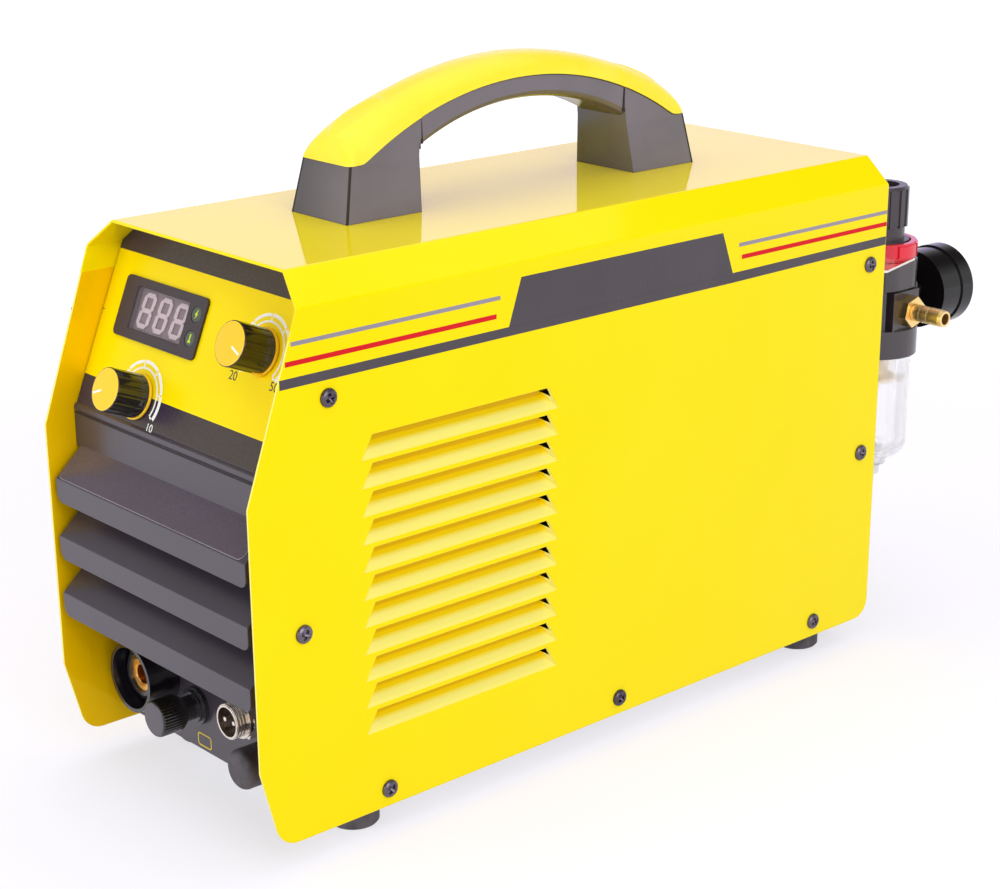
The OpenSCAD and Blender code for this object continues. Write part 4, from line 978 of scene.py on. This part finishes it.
# %% [markdown]
# ## Side graphics
# Each cheek carries a printed dark panel that runs out into a long dark line, with a red
# and a grey line above it. They are slabs too, laid on the cheek.

# %% Side graphics
CHEEK_FILM = 0.05


def cheek_grid(grid, side):
    """Carries local millimetres (along, up, out) to the cheek at side * CHEEK_X."""
    return at(np.stack([side * (CHEEK_X + grid[..., 2]), grid[..., 0], grid[..., 1]], -1))


def printed(lower, upper):
    """A thin slab of ink between a lower and an upper edge of (along, up) points."""
    return slab(lower, upper, -0.1, CHEEK_FILM)


def line(y0, y1, low, high):
    """A straight printed line from y0 to y1."""
    return printed([(y0, low), (y1, low)], [(y0, high), (y1, high)])


GRAPHICS = (
    ("dark", finish("dark graphic", (68, 60, 67), (58, 51, 56), 0.3, drift=14, edge=0),
     [line(-371, -251, 208.3, 212.35), line(-251, -111.5, 208.3, 212.35),
      printed([(-111.5, 208.3), (-0.2, 209.2)], [(-111.5, 212.9), (-0.2, 213.4)]),
      printed([(-251, 212.3), (-111.5, 212.3)], [(-243.9, 232.9), (-119.1, 232.9)])]),
    ("red", finish("red graphic", (222, 30, 38), (214, 24, 30), 0.5, edge=0, shine=0.15),
     [line(-368, -258, 217.1, 219.2), line(-105.8, -0.2, 218.6, 220.7)]),
    ("grey", finish("grey graphic", (152, 144, 154), (142, 134, 144), 0.34, edge=0),
     [line(-365, -255.8, 225, 226.8), line(-108, -0.2, 224.7, 226.5)]))
for side, name in ((1, "right"), (-1, "left")):
    for colour, material, parts in GRAPHICS:
        piece(f"graphic_{colour}_{name}", [cheek_grid(part, side) for part in parts], material)

# %% [markdown]
# A small yellow frame is printed under the pilot stud. It is a closed slab between two
# rounded rectangles.


# %% Small frame
def rounded_frame(width, height, radius, line_width):
    """A rounded rectangle's outline and the same drawn in by line_width, as a closed slab."""
    w, h = width / 2 - radius, height / 2 - radius

    def outline(inset):
        return [point for turn, corner in ((0, (w, h)), (90, (-w, h)), (180, (-w, -h)),
                                           (270, (w, -h)))
                for point in arc(corner, radius - inset, turn, turn + 90)]
    return slab(outline(0), outline(line_width), -0.05, 0.06)


piece("pilot_frame", [socket_grid(rounded_frame(10.6, 6.4, 1.7, 0.65), (-16.0, 19.8))],
      finish("yellow line", (232, 206, 40), (224, 196, 30), 0.5, edge=0),
      wrap_rows=True)

# %% [markdown]
# ## Front details
# The first blade slopes up at 42 degrees and wears a dark film with a fine pale outline: a
# slab, and a slightly larger pale one under it. The dark line under the leaning panel's bead
# is a painted shadow under its step: one more thin bar.

# %% Front details
BLADE_EDGE = (-387.0, 138.7)
BLADE_RISE = math.radians(42)
BLADE_FILM_AT = (-1.4, 16.9, 0.0)
STEP_Y = -374.24
BEAD_Z = 166.1


def blade_grid(grid):
    """Carries (x, up the slope, out) to the first blade's sloping top."""
    x, up, out = np.moveaxis(grid + np.array(BLADE_FILM_AT), -1, 0)
    y = BLADE_EDGE[0] + up * math.cos(BLADE_RISE) - out * math.sin(BLADE_RISE)
    z = BLADE_EDGE[1] + up * math.sin(BLADE_RISE) + out * math.cos(BLADE_RISE)
    return at(np.stack([x, y, z], -1))


def rounded_slab(width, height, radius, low, high):
    """A rounded rectangle as a slab: upper and lower edge are functions of x.

    The half height is height / 2 - r + sqrt(r ** 2 - d ** 2), with d the way into a corner."""
    x = width / 2 - radius * (1 - np.cos(np.linspace(np.pi / 2, 0, 8)))
    x = np.concatenate([-x[::-1], x])
    drop = np.clip(np.abs(x) - (width / 2 - radius), 0, radius)
    half = height / 2 - radius + np.sqrt(radius ** 2 - drop ** 2)
    return slab(np.column_stack([x, -half]), np.column_stack([x, half]), low, high)


def long_bar(y, z, thick, deep):
    """A bar across the front, 146 mm long, at height z."""
    path = np.column_stack([np.linspace(-73, 73, 12), np.full(12, y), np.full(12, z)])
    return at(gap_bar(path, (0, deep, 0), (0, 0, thick)))


piece("blade_film_edge", [blade_grid(rounded_slab(137.6, 32.4, 2.9, -0.1, 0.06))],
      finish("film edge", (176, 166, 176), (150, 140, 150), 0.3, edge=0))
piece("blade_film", [blade_grid(rounded_slab(137.1, 31.9, 2.7, 0.0, 0.16))],
      finish("dark film", (84, 73, 86), (76, 66, 78), 0.24, grain=(1500, 0.01), edge=0,
             drift=900, shine=0.8))
# Painted shadow under the step of the leaning panel's bead.
piece("bead_shadow", [long_bar(STEP_Y + 0.1, BEAD_Z, 0.55, 0.3)], PAINTED_GAP_SHADOW)

# %% [markdown]
# The pilot nut is a ribbed barrel with a flat front. Its ribs are made as the knobs' flutes
# are, by a rounded wave of the angle on top of the radius.

# %% Pilot nut
PILOT_AT = (-20.5, 36.0)
NUT_R = 8.0
NUT_FRONT = 23.12
RIBS = 36
RIB_HIGH = 0.4


def pilot_barrel():
    """Revolve of a closed profile, from the blind bore round to the front.

    The wave is RIB_HIGH * (0.5 + 0.5 * cos(RIBS * angle)) ** 0.7, and fades out at both ends."""
    columns = RIBS * 12
    profile = [(0, 19.9), (3.05, 19.9), (3.05, 9.4), (6.6, 9.4), *arc((6.6, 9.8), 0.4, -90, 0, 4),
               (7.0, 11.0), (7.9, 11.0), (NUT_R, 11.3), (NUT_R, 11.8), (NUT_R, 22.2),
               (7.95, 22.7), *arc((7.4, 22.7), 0.5, 0, 90, 5), (7.2, NUT_FRONT), (0, NUT_FRONT)]
    radius, out = np.array(profile).T
    cut = np.clip((out - 11.2) / 0.5, 0, 1) * np.clip((23.0 - out) / 0.7, 0, 1) * (radius > 7.5)
    wave = RIB_HIGH * (0.5 + 0.5 * np.cos(once_round(columns) * RIBS)) ** 0.7
    return swell(revolve(profile, columns), profile, cut[:, None] * wave)


piece("pilot_nut_barrel", [socket_grid(pilot_barrel(), PILOT_AT)], BLACK_GLOSS,
      ["pilot_nut"], "pilot_nut")
piece("pilot_nut_face", [socket_grid(disc(7.3, 23.0, 23.2, dome=0.06, round_edge=0.15), PILOT_AT)],
      finish("nut face", (92, 85, 94), (80, 74, 83), 0.42, grain=(2400, 0.01), edge=0),
      body="pilot_nut")

# %% [markdown]
# ## Screws
# A pan-head screw is a shallow dome with a cross recess. On a polar grid the head is a
# height field: the dome's height minus the recess, and the recess is deep where the point
# is inside either arm of the cross.

# %% Screw head
HEAD_R = 4.0
HEAD_H = 2.2
HEAD_WALL = 0.5
SCREW_R = 2.0
ARM_LONG = 2.3
ARM_WIDE = 0.7
RECESS = 1.7


def screw_head(turn):
    """Head and shank as one closed skin: height = dome(r) - RECESS * cross(x, y).

    The dome is HEAD_WALL + (HEAD_H - HEAD_WALL) * sqrt(1 - (r / HEAD_R) ** 2.6)."""
    radius = np.concatenate([np.linspace(0, 3.0, 22), np.linspace(3.15, HEAD_R, 6)])
    r, a = np.meshgrid(radius, once_round(64), indexing="ij")
    x, y = r * np.cos(a), r * np.sin(a)
    round_off = np.sqrt(np.clip(1 - (r / (HEAD_R * 1.01)) ** 2.6, 0, 1))
    u = np.abs(x * math.cos(turn) + y * math.sin(turn))
    v = np.abs(y * math.cos(turn) - x * math.sin(turn))
    arms = np.maximum(soft_inside(u, ARM_LONG) * soft_inside(v, ARM_WIDE),
                      soft_inside(v, ARM_LONG) * soft_inside(u, ARM_WIDE))
    recess = RECESS * arms * np.clip(1.25 - r / ARM_LONG, 0.3, 1)
    top = np.stack([x, y, HEAD_WALL + (HEAD_H - HEAD_WALL) * round_off - recess], -1)
    below = revolve([(HEAD_R, 0.0), (SCREW_R, 0.0), (SCREW_R, -5.5), (0, -6.0)], 64)
    return np.concatenate([top, below])


def facing(grid, origin, out):
    """Carries local millimetres (x, y, out) to origin, with z along out."""
    out = np.array(out, float)
    across = np.cross(out, [0, 0, 1]) if abs(out[2]) < 0.5 else ACROSS
    up = np.cross(out, across)
    return at(np.asarray(origin, float) + grid[..., :1] * across + grid[..., 1:2] * up
              + grid[..., 2:] * out)


# %% [markdown]
# Seven screws hold each cheek, four the fan's guard, two the filter's bracket and four the
# rubber feet. Each is turned differently, as a hand leaves them.

# %% Screws
SIDE_SCREWS = ((-347.5, 200.9), (-11.7, 200.9), (-11.7, 103.5), (-363, 104), (-320, 20.2),
               (-181.4, 20.2), (-43.1, 20.2))
FAN_AT = (-22.0, 76.0)
FAN_PITCH = 41.25
REAR_FACE = -7.0
FOOT_AT = (57, (-325, -33))
places = [(0.4 + 1.3 * i, (side * CHEEK_X, y, z), (side, 0, 0))
          for side in (1, -1) for i, (y, z) in enumerate(SIDE_SCREWS)]
places += [(0.7 + i, (FAN_AT[0] + FAN_PITCH * sx, REAR_FACE + 2.2, FAN_AT[1] + FAN_PITCH * sz),
            (0, 1, 0)) for i, (sx, sz) in enumerate(((-1, -1), (1, -1), (1, 1), (-1, 1)))]
places += [(1.1 + i, (50 + dx, REAR_FACE + 1.2, 212), (0, 1, 0)) for i, dx in enumerate((-15, 15))]
feet = [(side * FOOT_AT[0], y, 5) for y in FOOT_AT[1] for side in (-1, 1)]
places += [(0.3 + i, foot, (0, 0, -1)) for i, foot in enumerate(feet)]
piece("pan_head_screws", [facing(screw_head(turn), place, out) for turn, place, out in places],
      finish("gun metal screw", (122, 113, 125), (66, 59, 69), 0.26, spread=0.12, metal=0.9,
             grain=(1500, 0.01), edge=0), ["panel_screws"])

# %% [markdown]
# ## Studio
# A pale floor fades to white, and three large soft lamps light the cutter: a key at its
# right, one in front and one above. The camera, mirrors and glass see a white room, while
# the room lights the parts only softly. Only mirror rays see the lit card behind the cutter,
# which gives the glossy roof something to reflect.

# %% Floor
FLOOR_COLOUR = (0.43, 0.405, 0.47)
FLOOR_ROUGH = 0.9
FLOOR_GLOW = 0.6
GLOW_FROM, GLOW_TO = 0.5, 2.5
FLOOR_FILL = 0.42
FLOOR_HALF = 6.0


def seen(tree):
    """The kinds of light path, and 1 for rays that the camera sends, straight or through glass."""
    path = add(tree, "LightPath").outputs
    return path, maths(tree, "MAXIMUM", path["Is Camera Ray"], path["Is Transmission Ray"])


def pale_floor():
    """A floor whose shade is its lit colour plus a glow, so that open floor is white.

    The glow grows in a straight line from FLOOR_GLOW at GLOW_FROM to 1 at GLOW_TO metres."""
    material, tree, shader = new_material("pale floor")
    path, direct = seen(tree)
    either = maths(tree, "MAXIMUM", direct, path["Is Glossy Ray"])
    distance = maths(tree, "LENGTH", here(tree), kind="VectorMath", output=1)
    glow = ramp(tree, distance, GLOW_FROM, GLOW_TO, FLOOR_GLOW, 1.0)
    fill(shader, {"Base Color": (*FLOOR_COLOUR, 1), "Roughness": FLOOR_ROUGH,
                  "Specular IOR Level": 0.0, "Emission Color": (1, 1, 1, 1),
                  "Emission Strength": mix(tree, either, FLOOR_FILL, glow, "FLOAT")})
    return material


def sheet(name, corners, material):
    """One flat four-cornered sheet."""
    mesh = bpy.data.meshes.new(name)
    mesh.from_pydata(corners, [], [(0, 1, 2, 3)])
    mesh.materials.append(material)
    return put(name, mesh)


floor = sheet("floor", [(x * FLOOR_HALF, y * FLOOR_HALF, 0) for x, y in
                        ((-1, -1), (1, -1), (1, 1), (-1, 1))], pale_floor())

# %% Room, card and lamps
ROOM_LIGHT = 0.42
DARK_CEILING = 0.06
WALL_TOP = 0.34
CEILING_FROM = 0.6


def white_room():
    """World strength: 1 for camera and glass rays, ROOM_LIGHT for soft light.

    Mirror rays see a wall that is bright up to 20 degrees, where a ray's z is WALL_TOP, and
    darkens to DARK_CEILING at CEILING_FROM."""
    world = bpy.data.worlds.new("room")
    bpy.context.scene.world = world
    world.use_nodes = True
    tree = world.node_tree
    path, direct = seen(tree)
    level = ramp(tree, direct, 0.0, 1.0, ROOM_LIGHT, 1.0)
    climb = axes(tree, add(tree, "TexCoord").outputs["Generated"])["Z"]
    wall = ramp(tree, climb, WALL_TOP, CEILING_FROM, 1.0, DARK_CEILING)
    fill(tree.nodes["Background"], {"Color": (1, 1, 1, 1), "Strength": mix(
        tree, path["Is Glossy Ray"], level, wall, "FLOAT")})


LAMP_TARGET = Vector((0, 0, 0.12))


def soft_light(name, place, size, power):
    """A square area lamp that faces the cutter's middle."""
    lamp = bpy.data.lights.new(name, "AREA")
    lamp.shape = "SQUARE"
    lamp.size = size
    lamp.energy = power
    lit = put(name, lamp)
    lit.location = place
    lit.rotation_euler = (LAMP_TARGET - Vector(place)).to_track_quat("-Z", "Y").to_euler()


CARD_LIGHT = 1.4
CARD_COLOUR = (0.72, 0.62, 1.0, 1)
CARD_WAY = (-0.745, 0.667)
CARD_FAR = 2.2
CARD_HALF = 2.0
CARD_LOW = 0.42
CARD_HIGH = 1.1


def bright_card():
    """A lit card behind the cutter, low and wide, that only mirror rays see.

    Its corners are CARD_FAR * way +- CARD_HALF * (way turned by 90 degrees), low and high."""
    material, tree, shader = new_material("bright card")
    tree.nodes.remove(shader)
    glow = add(tree, "Emission", {"Color": CARD_COLOUR, "Strength": CARD_LIGHT})
    fill(tree.nodes["Material Output"], {"Surface": glow.outputs[0]})
    middle = np.array(CARD_WAY) * CARD_FAR
    along = np.array([CARD_WAY[1], -CARD_WAY[0]]) * CARD_HALF
    left, right = (middle - along).tolist(), (middle + along).tolist()
    card = sheet("card", [(*left, CARD_LOW), (*right, CARD_LOW), (*right, CARD_HIGH),
                          (*left, CARD_HIGH)], material)
    card.visible_camera = card.visible_diffuse = False
    card.visible_transmission = card.visible_shadow = False


bright_card()
white_room()
soft_light("key", (2.1, -0.5, 1.2), 1.6, 24)
soft_light("front", (-0.4, -2.2, 0.4), 1.4, 20)
soft_light("top", (-0.1, 0.0, 2.0), 3.4, 30)
